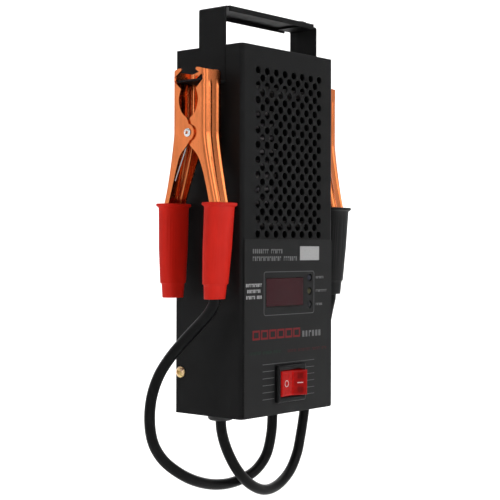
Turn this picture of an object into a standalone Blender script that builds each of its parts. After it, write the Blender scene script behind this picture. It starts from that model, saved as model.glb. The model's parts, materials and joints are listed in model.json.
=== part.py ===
"""Hand-held battery load tester: a folded steel case with a carrying handle, a display and a
rocker switch, and two spring clips that park on the handle's side tabs and hang on their cords.

Frame: metres, +Z up, the front panel faces -Y. The origin is the middle of the underside of the
handle's top plate, where a hand carries it. Run it in Blender's text editor, or with
blender --background --python part.py.
"""

import math

import bmesh
import bpy
from mathutils import Matrix, Vector

# ---------------------------------------------------------------- driving sizes (metres)
CASE_WIDTH = 0.100
CASE_DEPTH = 0.060
CASE_HEIGHT = 0.250
SHEET = 0.0012  # steel sheet of the case
GAP = 0.0003  # between pieces that touch
BEND = 0.003  # outside radius of the case's front corners

HANDLE_RISE = 0.0263  # from the case's top to the underside of the handle's top plate
HANDLE_FORWARD = 0.003  # the handle sits this far ahead of the case's middle
STRAP = 0.0012
STRAP_WIDTH = 0.024
BAR_DEPTH = STRAP_WIDTH + 0.0066  # front to rear over the rolled edges
BAR_FLANGE = 0.005
LUG_DROP = 0.066  # how far the riveted lug reaches down from the case's top
TAB_BELOW_TOP = 0.0236  # top face of the clip tab under the case's top
TAB_REACH = 0.0215

VENT_HOLE = 0.005
VENT_PITCH_X = 0.0096
VENT_PITCH_Z = 0.005
VENT_COLUMNS = 8
VENT_LABEL_GAP = 0.001  # least distance from the last row's edge to the label
VENT_TOP_MARGIN = 0.0166  # centre of the first row under the case's top

LABEL_WIDTH = 0.0963
LABEL_HEIGHT = 0.1195
LABEL_THICKNESS = 0.0004

WINDOW_WIDTH = 0.040
WINDOW_HEIGHT = 0.019
WINDOW_X = -0.0051
DISPLAY_Z = 0.0838  # height of the display's middle above the case's bottom
LAMP_X = 0.0225
LAMP_PITCH = 0.0095
LAMP_DIAMETER = 0.0046

SWITCH_Z = 0.021
BEZEL_WIDTH = 0.031
BEZEL_HEIGHT = 0.0257
BEZEL_THICKNESS = 0.0025
SWITCH_BODY_WIDTH = 0.0272
SWITCH_BODY_HEIGHT = 0.0216
SWITCH_BODY_DEPTH = 0.022
ROCKER_WIDTH = 0.0236
ROCKER_HEIGHT = 0.0174
ROCKER_TILT = math.radians(10)  # each way from level

SCREW_Y = 0.0251
SCREW_Z = 0.0283
SCREW_SHANK = 0.0038
SCREW_HEAD = 0.008

CORD_DIAMETER = 0.0075
CORD_EXIT_X = 0.283 * CASE_WIDTH
CORD_EXIT_Y = 0.0076
BUSHING_DIAMETER = 0.018
BUSHING_DROP = 0.0053

CLIP_X = 0.6375 * CASE_WIDTH  # middle of a clip, out from the case's middle
CLIP_WIDTH = 0.0205
CLIP_SHEET = 0.0011
CLIP_WEB = STRAP_WIDTH / 2 + 0.0023  # from the rivet to a jaw's web, which clears the tab
CLIP_RIVET_BELOW_TOP = 0.0599
CLIP_BEND = 0.0035
JAW_TOP = 0.042  # heights from the rivet
GRIP_TOP = -0.046
GRIP_LENGTH = 0.0635
RIVET_DIAMETER = 0.004

COIL_RADIUS = 0.0165
COIL_WIRE = 0.003
COIL_PITCH = 0.0088
COIL_ABOVE_BOTTOM = 0.138
COIL_BELOW_TOP = 0.029  # least room for the upper board and the wire's end
COIL_TURNS = int((CASE_HEIGHT - COIL_ABOVE_BOTTOM - COIL_BELOW_TOP) / COIL_PITCH)

# ---------------------------------------------------------------- places worked out from them
TOP = -HANDLE_RISE
BOTTOM = TOP - CASE_HEIGHT
MID_Y = HANDLE_FORWARD
FRONT = MID_Y - CASE_DEPTH / 2
BACK = MID_Y + CASE_DEPTH / 2
SIDE = CASE_WIDTH / 2
STRAP_IN = SIDE + GAP  # inner face of a handle strap
STRAP_OUT = STRAP_IN + STRAP
TAB_TOP = TOP - TAB_BELOW_TOP
LABEL_FRONT = FRONT - GAP - LABEL_THICKNESS
BEZEL_BACK = LABEL_FRONT - GAP
BEZEL_FRONT = BEZEL_BACK - BEZEL_THICKNESS
RIVET_Z = TOP - CLIP_RIVET_BELOW_TOP
DISPLAY_HEIGHT = BOTTOM + DISPLAY_Z
SWITCH_HEIGHT = BOTTOM + SWITCH_Z
VENT_TOP = TOP - VENT_TOP_MARGIN
VENT_ROOM = CASE_HEIGHT - LABEL_HEIGHT - VENT_TOP_MARGIN - VENT_HOLE / 2 - VENT_LABEL_GAP
VENT_ROWS = 1 + int(VENT_ROOM / VENT_PITCH_Z)

TURN_TO_X = Matrix(((0, 0, 1), (1, 0, 0), (0, 1, 0))).to_4x4()  # outline in YZ, thickness along X


# ---------------------------------------------------------------- scene, collections, materials
def clear_scene():
    for obj in list(bpy.data.objects):
        bpy.data.objects.remove(obj)


def new_collection(name):
    made = bpy.data.collections.new(name)
    bpy.context.scene.collection.children.link(made)
    return made


clear_scene()
PARTS = new_collection("battery_tester")
CUTTERS = new_collection("cutters")


def material(name, colour, roughness, metallic=0.0):
    made = bpy.data.materials.new(name)
    made.use_nodes = True
    shader = made.node_tree.nodes["Principled BSDF"]
    shader.inputs["Base Color"].default_value = (*colour, 1)
    shader.inputs["Roughness"].default_value = roughness
    shader.inputs["Metallic"].default_value = metallic
    return made


BLACK_PAINT = material("black_paint", (0.03, 0.031, 0.033), 0.45)
COPPER = material("copper_plate", (0.85, 0.42, 0.22), 0.25, 1.0)
ZINC = material("zinc_plate", (0.75, 0.72, 0.62), 0.35, 1.0)
STEEL = material("bright_steel", (0.6, 0.6, 0.62), 0.3, 1.0)
RED_VINYL = material("red_vinyl", (0.62, 0.03, 0.015), 0.4)
BLACK_VINYL = material("black_vinyl", (0.015, 0.015, 0.016), 0.4)
BLACK_PLASTIC = material("black_plastic", (0.012, 0.012, 0.013), 0.35)
RED_PLASTIC = material("red_plastic", (0.75, 0.025, 0.01), 0.2)
SMOKED_RED = material("smoked_red", (0.06, 0.008, 0.01), 0.15)
LABEL_FILM = material("label_film", (0.03, 0.031, 0.033), 0.35)
CIRCUIT = material("circuit_board", (0.02, 0.12, 0.05), 0.5)
CERAMIC = material("ceramic", (0.7, 0.68, 0.62), 0.6)
NICKEL_WIRE = material("resistance_wire", (0.35, 0.33, 0.31), 0.45, 1.0)
RUBBER = material("rubber", (0.02, 0.02, 0.021), 0.6)


# ---------------------------------------------------------------- small modelling tools
def add(name, mesh, look, collection=None):
    obj = bpy.data.objects.new(name, mesh)
    (collection or PARTS).objects.link(obj)
    if look:
        mesh.materials.clear()
        mesh.materials.append(look)
    return obj


def cutter(obj):
    for holder in list(obj.users_collection):
        holder.objects.unlink(obj)
    CUTTERS.objects.link(obj)
    obj.hide_render = True
    obj.display_type = "WIRE"
    return obj


def mesh_from(bm, name):
    mesh = bpy.data.meshes.new(name)
    bm.to_mesh(mesh)
    bm.free()
    return mesh


def box(name, low, high, look=None, rounded=0.0, rounds=lambda a, b: False):
    """A box from its lowest to its highest corner; the edges that rounds() picks are rounded."""
    bm = bmesh.new()
    bmesh.ops.create_cube(bm, size=1.0)
    low, high = Vector(low), Vector(high)
    middle = (low + high) / 2
    for v in bm.verts:
        v.co = Vector(a * b for a, b in zip(v.co, high - low)) + middle
    edges = [e for e in bm.edges if rounds(*(v.co for v in e.verts))]
    if edges:
        bmesh.ops.bevel(
            bm, geom=edges, offset=rounded, segments=3, profile=0.5, affect="EDGES"
        )
    return add(name, mesh_from(bm, name), look)


def cylinder_into(bm, radius, start, end, sides, spin=0.0):
    start, end = Vector(start), Vector(end)
    turn = (end - start).to_track_quat("Z", "X").to_matrix().to_4x4()
    turn = turn @ Matrix.Rotation(spin, 4, "Z")
    bmesh.ops.create_cone(
        bm,
        cap_ends=True,
        segments=sides,
        radius1=radius,
        radius2=radius,
        depth=(end - start).length,
        matrix=Matrix.Translation((start + end) / 2) @ turn,
    )


def cylinder(name, radius, start, end, look=None, sides=20):
    bm = bmesh.new()
    cylinder_into(bm, radius, start, end, sides)
    obj = add(name, mesh_from(bm, name), look)
    smooth(obj)
    return obj


def smooth(obj, angle=math.radians(35)):
    obj.data.shade_smooth()
    obj.data.set_sharp_from_angle(angle=angle)


def boolean(obj, other, operation="DIFFERENCE"):
    cutter(other)
    change = obj.modifiers.new(other.name, "BOOLEAN")
    change.operation = operation
    change.object = other
    return obj


def turned(name, profile, place, look, sides=20):
    """A turned piece: (radius, height) points, down the outer side, turned about local Z."""
    bm = bmesh.new()
    ring = [bm.verts.new((radius, 0, height)) for radius, height in profile]
    closed = all(radius > 0 for radius, _ in profile)
    for a, b in zip(ring, ring[1:] + ring[:1] if closed else ring[1:]):
        bm.edges.new((a, b))
    obj = add(name, mesh_from(bm, name), look)
    screw = obj.modifiers.new("turn", "SCREW")
    screw.steps = screw.render_steps = sides
    screw.use_merge_vertices = True
    screw.merge_threshold = 0.00001
    obj.matrix_world = place
    return obj


def along_x(x, y, z, outward):
    """A place whose local Z points along X, away from the case on that side."""
    turn = Matrix.Rotation(math.radians(90 * outward), 4, "Y")
    return Matrix.Translation((x, y, z)) @ turn


def solid_from_curve(curve_object, name, look):
    """The mesh of a curve object, with its loose caps welded on."""
    bpy.context.view_layer.update()
    evaluated = curve_object.evaluated_get(bpy.context.evaluated_depsgraph_get())
    mesh = bpy.data.meshes.new_from_object(evaluated)
    bm = bmesh.new()
    bm.from_mesh(mesh)
    bmesh.ops.remove_doubles(bm, verts=bm.verts, dist=0.000001)
    bm.transform(curve_object.matrix_world)
    bm.to_mesh(mesh)
    bm.free()
    bpy.data.objects.remove(curve_object)
    mesh.name = name
    return add(name, mesh, look)


def plate(name, outline, thickness, place, look=None):
    """A flat outline as a plate, its thickness half to each side of the place's XY plane."""
    curve = bpy.data.curves.new(name, "CURVE")
    curve.dimensions = "2D"
    curve.fill_mode = "BOTH"
    curve.extrude = thickness / 2
    spline = curve.splines.new("POLY")
    spline.points.add(len(outline) - 1)
    for point, (x, y) in zip(spline.points, outline):
        point.co = (x, y, 0, 1)
    spline.use_cyclic_u = True
    holder = add(name, curve, None)
    holder.matrix_world = place
    return solid_from_curve(holder, name, look)


def tube(name, points, radius, look, resolution=2):
    """A round tube along the points, with closed ends."""
    curve = bpy.data.curves.new(name, "CURVE")
    curve.dimensions = "3D"
    curve.bevel_depth = radius
    curve.bevel_resolution = resolution
    curve.use_fill_caps = True
    spline = curve.splines.new("POLY")
    spline.points.add(len(points) - 1)
    for point, co in zip(spline.points, points):
        point.co = (*co, 1)
    curve.materials.append(look)
    return add(name, curve, None)


def through(points, per_span=4):
    """A smooth line through the points (centripetal Catmull-Rom)."""
    given = [Vector(p) for p in points]
    ends = [2 * given[0] - given[1], *given, 2 * given[-1] - given[-2]]
    line = []
    for a, b, c, d in zip(ends, ends[1:], ends[2:], ends[3:]):
        t1 = (b - a).length ** 0.5
        t2 = t1 + (c - b).length ** 0.5
        t3 = t2 + (d - c).length ** 0.5
        for step in range(per_span):
            t = t1 + (t2 - t1) * step / per_span
            ab = a.lerp(b, t / t1)
            bc = b.lerp(c, (t - t1) / (t2 - t1))
            cd = c.lerp(d, (t - t2) / (t3 - t2))
            abc = ab.lerp(bc, t / t2)
            bcd = bc.lerp(cd, (t - t1) / (t3 - t1))
            line.append(abc.lerp(bcd, (t - t1) / (t2 - t1)))
    return [*line, given[-1]]


def evenly(line, step):
    """The line again, with points about step apart."""
    lengths = [(b - a).length for a, b in zip(line, line[1:])]
    count = max(2, round(sum(lengths) / step))
    wanted = sum(lengths) / count
    out, walked, target = [line[0]], 0.0, wanted
    for (a, b), length in zip(zip(line, line[1:]), lengths):
        while walked + length >= target and len(out) < count:
            out.append(a.lerp(b, (target - walked) / length))
            target += wanted
        walked += length
    return [*out, line[-1]]


def arc(centre, radius, start, end, steps):
    """Points of an arc in a plane, angles in degrees."""
    angles = [math.radians(start + (end - start) * i / steps) for i in range(steps + 1)]
    return [(centre[0] + radius * math.cos(a), centre[1] + radius * math.sin(a)) for a in angles]


def folded_sheet(name, stations, columns, kept, place, thickness, look):
    """Sheet metal: the flat pattern's kept cells, put where place(station, column) folds them."""
    bm = bmesh.new()
    points = {}

    def vertex(s, w):
        if (s, w) not in points:
            points[s, w] = bm.verts.new(place(s, w))
        return points[s, w]

    for s0, s1 in zip(stations, stations[1:]):
        for w0, w1 in zip(columns, columns[1:]):
            if kept((s0 + s1) / 2, (w0 + w1) / 2):
                bm.faces.new((vertex(s0, w0), vertex(s1, w0), vertex(s1, w1), vertex(s0, w1)))
    obj = add(name, mesh_from(bm, name), look)
    solid = obj.modifiers.new("sheet", "SOLIDIFY")
    solid.thickness = thickness
    solid.offset = -1
    solid.use_even_offset = True
    return obj


def sorted_apart(numbers):
    """The numbers in order, without those that meet another within a hundredth of a millimetre."""
    out = []
    for number in sorted(numbers):
        if not out or number - out[-1] > 0.00001:
            out.append(number)
    return out


# ---------------------------------------------------------------- case
def cover_path():
    """The front cover's outline seen from above, from the left side's rear edge round the front."""
    left = [(-SIDE, BACK)]
    left += arc((-SIDE + BEND, FRONT + BEND), BEND, 180, 270, 3)
    right = [(-x, y) for x, y in reversed(left)]
    return left + right


def vent_centres():
    """Vent holes in staggered rows: every other row has one hole less and sits half a pitch over."""
    for row in range(VENT_ROWS):
        count = VENT_COLUMNS - row % 2
        for column in range(count):
            yield (column - (count - 1) / 2) * VENT_PITCH_X, VENT_TOP - row * VENT_PITCH_Z


def lamp_heights():
    return [DISPLAY_HEIGHT + LAMP_PITCH * i for i in (1, 0, -1)]


def make_front_cover():
    path = cover_path()
    cover = folded_sheet(
        "front_cover",
        list(range(len(path))),
        [BOTTOM, TOP],
        lambda s, w: True,
        lambda s, w: (*path[s], w),
        SHEET,
        BLACK_PAINT,
    )
    bm = bmesh.new()
    for number, (x, z) in enumerate(vent_centres()):
        start, end = (x, FRONT + 2 * SHEET, z), (x, FRONT - SHEET, z)
        spin = math.radians(number * 7 % 45)  # so that no three holes' corners line up
        cylinder_into(bm, VENT_HOLE / 2, start, end, 8, spin)
    for z in lamp_heights():
        start, end = (LAMP_X, FRONT + 2 * SHEET, z), (LAMP_X, FRONT - SHEET, z)
        cylinder_into(bm, LAMP_DIAMETER / 2 + GAP, start, end, 12)
    for x_sign in (-1, 1):
        start = (x_sign * (SIDE - 2 * SHEET), MID_Y + SCREW_Y, BOTTOM + SCREW_Z)
        end = (x_sign * (SIDE + SHEET), MID_Y + SCREW_Y, BOTTOM + SCREW_Z)
        cylinder_into(bm, SCREW_SHANK / 2 + GAP, start, end, 12)
        for z in handle_rivet_heights():
            start = (x_sign * (SIDE - 2 * SHEET), handle_rivet_y(), z)
            end = (x_sign * (SIDE + SHEET), handle_rivet_y(), z)
            cylinder_into(bm, RIVET_DIAMETER / 2 + GAP, start, end, 12)
    boolean(cover, add("cover_holes", mesh_from(bm, "cover_holes"), None))
    boolean(cover, window_opening("cover_window_opening"))
    boolean(cover, switch_opening("cover_switch_opening"))


def window_opening(name):
    half_x, half_z = WINDOW_WIDTH / 2 + GAP, WINDOW_HEIGHT / 2 + GAP
    low = (WINDOW_X - half_x, LABEL_FRONT - SHEET, DISPLAY_HEIGHT - half_z)
    high = (WINDOW_X + half_x, FRONT + 2 * SHEET, DISPLAY_HEIGHT + half_z)
    return box(name, low, high)


def switch_opening(name):
    half_x, half_z = SWITCH_BODY_WIDTH / 2 + GAP, SWITCH_BODY_HEIGHT / 2 + GAP
    low = (-half_x, LABEL_FRONT - SHEET, SWITCH_HEIGHT - half_z)
    high = (half_x, FRONT + 2 * SHEET, SWITCH_HEIGHT + half_z)
    return box(name, low, high)


PAN_FLANGE = 0.012  # side flanges of the back pan


def make_back_pan():
    """Back, top and bottom in one pan that slides in between the cover's sides."""
    inner = SIDE - SHEET - GAP
    front = FRONT + SHEET + GAP
    pan = box(
        "back_pan",
        (-inner, front, BOTTOM),
        (inner, BACK, TOP),
        BLACK_PAINT,
        BEND - SHEET - GAP,
        lambda a, b: a.x * b.x > 0 and a.y < MID_Y and b.y < MID_Y,
    )
    hollow = box(
        "pan_hollow",
        (-inner + SHEET, front - SHEET, BOTTOM + SHEET),
        (inner - SHEET, BACK - SHEET, TOP - SHEET),
    )
    boolean(pan, hollow)
    sides_away = box(
        "pan_open_sides",
        (-SIDE, front - SHEET, BOTTOM + SHEET),
        (SIDE, BACK - PAN_FLANGE, TOP - SHEET),
    )
    boolean(pan, sides_away)
    bm = bmesh.new()
    screw_y, screw_z = MID_Y + SCREW_Y, BOTTOM + SCREW_Z
    radius = SCREW_SHANK / 2 + GAP
    cylinder_into(bm, radius, (-SIDE, screw_y, screw_z), (SIDE, screw_y, screw_z), 12)
    for sign in (-1, 1):
        x, y = sign * CORD_EXIT_X, MID_Y + CORD_EXIT_Y
        radius = BUSHING_NECK / 2 + GAP
        cylinder_into(bm, radius, (x, y, BOTTOM - SHEET), (x, y, BOTTOM + 2 * SHEET), 20)
    boolean(pan, add("pan_holes", mesh_from(bm, "pan_holes"), None))


def make_case_screws():
    head, shank = SCREW_HEAD / 2, SCREW_SHANK / 2
    profile = [
        (0, 0.0026),
        (head * 0.62, 0.0024),
        (head * 0.9, 0.0016),
        (head, 0.0006),
        (head, 0),
        (shank, 0),
        (shank, -0.0085),
        (0, -0.0105),
    ]
    for side, sign in (("left", -1), ("right", 1)):
        place = along_x(sign * (SIDE + GAP), MID_Y + SCREW_Y, BOTTOM + SCREW_Z, sign)
        turned(f"{side}_case_screw", profile, place, ZINC, 16)


# ---------------------------------------------------------------- handle
def handle_rivet_y():
    """The rivets stand just ahead of the back pan's side flanges."""
    return BACK - PAN_FLANGE - GAP - RIVET_HEAD


def handle_rivet_heights():
    return (TOP - 0.0300, TOP - 0.0550)


RIVET_HEAD = 0.0038  # radius of the heads on the handle's rivets
LUG_BACK_INSET = 0.002  # the lug's rear edge stops this far ahead of the case's back
STRAP_BEND = 0.003


def strap_line(sign, under, ends):
    """The strap's inner face seen from the front: in along the tab, up the side, over to the ends.

    Its first four points are the tab's edge, the tab's bend and the height of the case's top.
    """
    tab_under = TAB_TOP - STRAP
    turn = STRAP_BEND / 2
    line = [(STRAP_OUT + TAB_REACH, tab_under)]
    line += [(STRAP_IN + turn, tab_under), (STRAP_IN, tab_under + turn), (STRAP_IN, TOP)]
    radius = STRAP_BEND - STRAP
    line += arc((STRAP_IN - radius, under - radius), radius, 0, 90, 3)
    return [(sign * x, z) for x, z in line] + [(x, under) for x in ends]


BAR_RIGHT_END = SIDE - 0.006
BAR_LEFT_START = -SIDE + 0.0025
RIGHT_STRAP_END = SIDE - 0.016  # it reaches this far in under the bar
LUG_SLIT = 0.001  # between the tab and the lug
ROLL = 0.0006  # inside radius of the bar's rolled edges


def rolled_edge(w):
    """Where a point of the bar's flat pattern, w from its middle, lands: (y, drop)."""
    side = math.copysign(1, w)
    flat = BAR_DEPTH / 2 - STRAP - ROLL
    past = abs(w) - flat
    if past <= 0:
        return w, 0.0
    angle = min(past / ROLL, math.pi / 2)
    drop = ROLL * (1 - math.cos(angle)) + max(0.0, past - ROLL * math.pi / 2)
    return side * (flat + ROLL * math.sin(angle)), drop


def make_handle_half(name, sign, under, ends):
    """A strap with the clip tab bent out of it and a riveted lug beside it, in one folded piece.

    Where the line has two ends, the part between them is the carrying bar, with rolled edges.
    """
    line = strap_line(sign, under, ends)
    half = STRAP_WIDTH / 2
    lug_front, lug_rear = half + LUG_SLIT, BACK - LUG_BACK_INSET
    flat = BAR_DEPTH / 2 - STRAP - ROLL
    over = flat + ROLL * math.pi / 2
    edges = [flat, (flat + over) / 2, over, over + BAR_FLANGE - STRAP - ROLL]
    columns = sorted_apart([-w for w in edges] + edges + [-half, half, lug_front, lug_rear])
    bar_start = len(line) - 2 if len(ends) > 1 else len(line)

    def kept(s, w):
        if s > bar_start:
            return abs(w) < edges[-1]
        if s < 3:
            return -half < w < half or lug_front < w < lug_rear or (s > 2 and w > half)
        return -half < w < half

    def place(s, w):
        x, z = line[s]
        if s >= bar_start:
            y, drop = rolled_edge(w)
            return x, y, z - drop
        if s < 2 and w > half:
            return sign * STRAP_IN, w, (TOP - LUG_DROP, TAB_TOP - STRAP)[s]
        return x, w, z

    return folded_sheet(
        name,
        list(range(len(line))),
        columns[:: int(sign)],
        kept,
        place,
        STRAP,
        BLACK_PAINT,
    )


def bar_rivet_places():
    return [((BAR_RIGHT_END + RIGHT_STRAP_END) / 2, y) for y in (-0.006, 0.006)]


def make_handle():
    left = make_handle_half("left_handle_strap", -1, 0.0, (BAR_LEFT_START, BAR_RIGHT_END))
    right = make_handle_half("right_handle_strap", 1, -GAP - STRAP, (RIGHT_STRAP_END,))
    bm = bmesh.new()
    for x, y in bar_rivet_places():
        cylinder_into(bm, RIVET_DIAMETER / 2 + GAP, (x, y, -0.004), (x, y, 0.004), 12)
    bar_holes = add("bar_rivet_holes", mesh_from(bm, "bar_rivet_holes"), None)
    for strap, sign in ((left, -1), (right, 1)):
        boolean(strap, bar_holes)
        bm = bmesh.new()
        for z in handle_rivet_heights():
            start = (sign * (SIDE - SHEET), handle_rivet_y(), z)
            end = (sign * (STRAP_OUT + STRAP), handle_rivet_y(), z)
            cylinder_into(bm, RIVET_DIAMETER / 2 + GAP, start, end, 12)
        holes = f"{strap.name}_rivet_holes"
        boolean(strap, add(holes, mesh_from(bm, holes), None))


def rivet_profile(head, head_height, shank, grip):
    """Outer head on top, a shank through the grip, and the closed head under it."""
    return [
        (0, head_height),
        (head * 0.7, head_height * 0.75),
        (head, 0),
        (shank, 0),
        (shank, -grip),
        (head, -grip),
        (head * 0.7, -grip - head_height * 0.75),
        (0, -grip - head_height),
    ]


def make_handle_rivets():
    shank = RIVET_DIAMETER / 2
    grip = STRAP + SHEET + 3 * GAP
    profile = rivet_profile(RIVET_HEAD, 0.0009, shank, grip)
    for side, sign in (("left", -1), ("right", 1)):
        for number, z in enumerate(handle_rivet_heights(), 1):
            place = along_x(sign * (STRAP_OUT + GAP), handle_rivet_y(), z, sign)
            turned(f"{side}_handle_rivet_{number}", profile, place, BLACK_PAINT, 12)
    profile = rivet_profile(RIVET_HEAD, 0.0009, shank, 2 * STRAP + 3 * GAP)
    for number, (x, y) in enumerate(bar_rivet_places(), 1):
        place = Matrix.Translation((x, y, STRAP + GAP))
        turned(f"bar_rivet_{number}", profile, place, BLACK_PAINT, 12)


# ---------------------------------------------------------------- label, display, lamps
def make_label():
    low = (-LABEL_WIDTH / 2, LABEL_FRONT, BOTTOM + 0.0004)
    high = (LABEL_WIDTH / 2, FRONT - GAP, BOTTOM + 0.0004 + LABEL_HEIGHT)
    label = box("front_label", low, high, LABEL_FILM)
    boolean(label, window_opening("label_window_opening"))
    boolean(label, switch_opening("label_switch_opening"))
    bm = bmesh.new()
    for z in lamp_heights():
        start, end = (LAMP_X, FRONT + SHEET, z), (LAMP_X, LABEL_FRONT - SHEET, z)
        cylinder_into(bm, LAMP_DIAMETER / 2 + GAP, start, end, 12)
    boolean(label, add("label_lamp_holes", mesh_from(bm, "label_lamp_holes"), None))


WINDOW_THICKNESS = 0.0022
DIGITS_DEPTH = 0.008
BOARD = 0.0016


def make_display():
    window_back = LABEL_FRONT + WINDOW_THICKNESS
    low = (WINDOW_X - WINDOW_WIDTH / 2, LABEL_FRONT, DISPLAY_HEIGHT - WINDOW_HEIGHT / 2)
    high = (WINDOW_X + WINDOW_WIDTH / 2, window_back, DISPLAY_HEIGHT + WINDOW_HEIGHT / 2)
    box("display_window", low, high, SMOKED_RED)
    digits_front = window_back + GAP
    digits_back = digits_front + DIGITS_DEPTH
    inset = 0.0008
    low = (low[0] + inset, digits_front, low[2] + inset)
    high = (high[0] - inset, digits_back, high[2] - inset)
    box("display_digits", low, high, BLACK_PLASTIC)
    board_front = digits_back + GAP
    half_x, half_z = 0.033, 0.0165
    low = (-half_x, board_front, DISPLAY_HEIGHT - half_z)
    high = (half_x, board_front + BOARD, DISPLAY_HEIGHT + half_z)
    board = box("display_board", low, high, CIRCUIT)
    bm = bmesh.new()
    for number, (sx, sz) in enumerate(((-1, 1), (1, 1), (-1, -1), (1, -1)), 1):
        x, z = sx * (half_x - 0.003), DISPLAY_HEIGHT + sz * (half_z - 0.003)
        pin_end = board_front + BOARD + 0.003
        profile_place = Matrix.Translation((x, 0, z)) @ Matrix.Rotation(math.radians(90), 4, "X")
        start = -(FRONT + SHEET + GAP)
        profile = [
            (0, start),
            (0.0025, start),
            (0.0025, -board_front + GAP),
            (0.0012, -board_front + GAP),
            (0.0012, -pin_end),
            (0, -pin_end),
        ]
        turned(f"board_post_{number}", profile, profile_place, ZINC, 12)
        cylinder_into(bm, 0.0012 + GAP, (x, board_front - 0.001, z), (x, pin_end, z), 12)
    boolean(board, add("board_post_holes", mesh_from(bm, "board_post_holes"), None))
    names = ("high_lamp", "charged_lamp", "low_lamp")
    radius = LAMP_DIAMETER / 2
    for name, z in zip(names, lamp_heights()):
        start = -board_front + GAP
        profile = [
            (0, -LABEL_FRONT),
            (radius * 0.7, -LABEL_FRONT - 0.0003),
            (radius, -LABEL_FRONT - 0.0012),
            (radius, start),
            (0, start),
        ]
        place = Matrix.Translation((LAMP_X, 0, z)) @ Matrix.Rotation(math.radians(90), 4, "X")
        turned(name, profile, place, SMOKED_RED if name == "low_lamp" else CERAMIC, 16)


# ---------------------------------------------------------------- rocker switch
ROCKER_AXIS_Y = BEZEL_FRONT + 0.002
POCKET_WIDTH = 0.0250
POCKET_DEPTH = 0.011


def make_switch():
    half_x, half_z = BEZEL_WIDTH / 2, BEZEL_HEIGHT / 2
    low = (-half_x, BEZEL_FRONT, SWITCH_HEIGHT - half_z)
    high = (half_x, BEZEL_BACK, SWITCH_HEIGHT + half_z)
    switch = box("switch_housing", low, high, BLACK_PLASTIC)
    half_x, half_z = SWITCH_BODY_WIDTH / 2, SWITCH_BODY_HEIGHT / 2
    low = (-half_x, BEZEL_FRONT + 0.001, SWITCH_HEIGHT - half_z)
    high = (half_x, BEZEL_BACK + SWITCH_BODY_DEPTH, SWITCH_HEIGHT + half_z)
    boolean(switch, box("switch_body_block", low, high), "UNION")
    half_x, half_z = POCKET_WIDTH / 2, ROCKER_HEIGHT / 2 + GAP
    low = (-half_x, BEZEL_FRONT - 0.001, SWITCH_HEIGHT - half_z)
    high = (half_x, BEZEL_FRONT + POCKET_DEPTH, SWITCH_HEIGHT + half_z)
    boolean(switch, box("switch_pocket", low, high))
    spade_start = BEZEL_BACK + SWITCH_BODY_DEPTH + GAP
    for number, x in enumerate((-0.0085, 0.0, 0.0085), 1):
        low = (x - 0.0004, spade_start, SWITCH_HEIGHT - 0.00315)
        high = (x + 0.0004, spade_start + 0.0085, SWITCH_HEIGHT + 0.00315)
        box(f"switch_spade_{number}", low, high, STEEL)
    half = ROCKER_WIDTH / 2
    outline = [(-half, -0.0046), (0, -0.0022), (half, -0.0046)]
    outline += [(half - 0.0009, 0.0012), (0.004, 0.0066), (-0.004, 0.0066), (-half + 0.0009, 0.0012)]
    axis = Matrix.Translation((0, ROCKER_AXIS_Y, SWITCH_HEIGHT))
    rocker = plate("rocker", outline, ROCKER_HEIGHT, Matrix.Identity(4), RED_PLASTIC)
    rocker.matrix_world = axis @ Matrix.Rotation(-ROCKER_TILT, 4, "Z")


# ---------------------------------------------------------------- load coil and its boards
COIL_BOARD = 0.004
COIL_BOTTOM = BOTTOM + COIL_ABOVE_BOTTOM


def make_coil():
    """The load resistor: a coil of resistance wire between two ceramic boards."""
    y = MID_Y + 0.002
    height = COIL_TURNS * COIL_PITCH
    steps = 12
    points = [(0, y, COIL_BOTTOM - 0.012)]
    for i in range(COIL_TURNS * steps + 1):
        angle = 2 * math.pi * i / steps
        ease = min(1, i / steps, (COIL_TURNS * steps - i) / steps)
        radius = COIL_RADIUS * (0.15 + 0.85 * ease)
        x, dy = radius * math.sin(angle), -radius * math.cos(angle) + COIL_RADIUS * 0.15
        points.append((x, y + dy, COIL_BOTTOM + height * i / (COIL_TURNS * steps)))
    points.append((0, y, COIL_BOTTOM + height + 0.010))
    tube("load_coil", points, COIL_WIRE / 2, NICKEL_WIRE, 1)
    for name, z in (
        ("lower_coil_board", COIL_BOTTOM - 0.005 - COIL_BOARD),
        ("upper_coil_board", COIL_BOTTOM + height + 0.004),
    ):
        board = box(
            name,
            (-0.030, MID_Y - 0.020, z),
            (0.030, BACK - SHEET - GAP, z + COIL_BOARD),
            CERAMIC,
        )
        hole = cylinder(
            f"{name}_hole",
            COIL_WIRE / 2 + 0.0006,
            (0, y, z - 0.001),
            (0, y, z + COIL_BOARD + 0.001),
            None,
            12,
        )
        boolean(board, hole)


# ---------------------------------------------------------------- cords
BUSHING_NECK = 0.0125
CORD_BORE = CORD_DIAMETER + 2 * GAP

# The red clip's cord: from its front grip out round the case's left side, under it, and up
# through the right-hand bushing.
RED_CORD_ROUTE = [
    (-0.0640, -0.0159, -0.1905),
    (-0.0640, -0.0153, -0.1990),
    (-0.0648, -0.0118, -0.2050),
    (-0.0660, -0.0045, -0.2125),
    (-0.0695, 0.0058, -0.2235),
    (-0.0735, 0.0155, -0.2355),
    (-0.0775, 0.0226, -0.2485),
    (-0.0808, 0.0262, -0.2640),
    (-0.0815, 0.0268, -0.2810),
    (-0.0790, 0.0258, -0.2940),
    (-0.0722, 0.0237, -0.3052),
    (-0.0620, 0.0200, -0.3143),
    (-0.0490, 0.0167, -0.3215),
    (-0.0302, 0.0150, -0.3268),
    (-0.0102, 0.0138, -0.3276),
    (0.0106, 0.0124, -0.3225),
    (0.0215, 0.0110, -0.3125),
    (0.0262, 0.0103, -0.2985),
    (0.0282, 0.0106, -0.2850),
    (0.0283, 0.0106, -0.2750),
    (0.0283, 0.0106, -0.2640),
]

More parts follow.
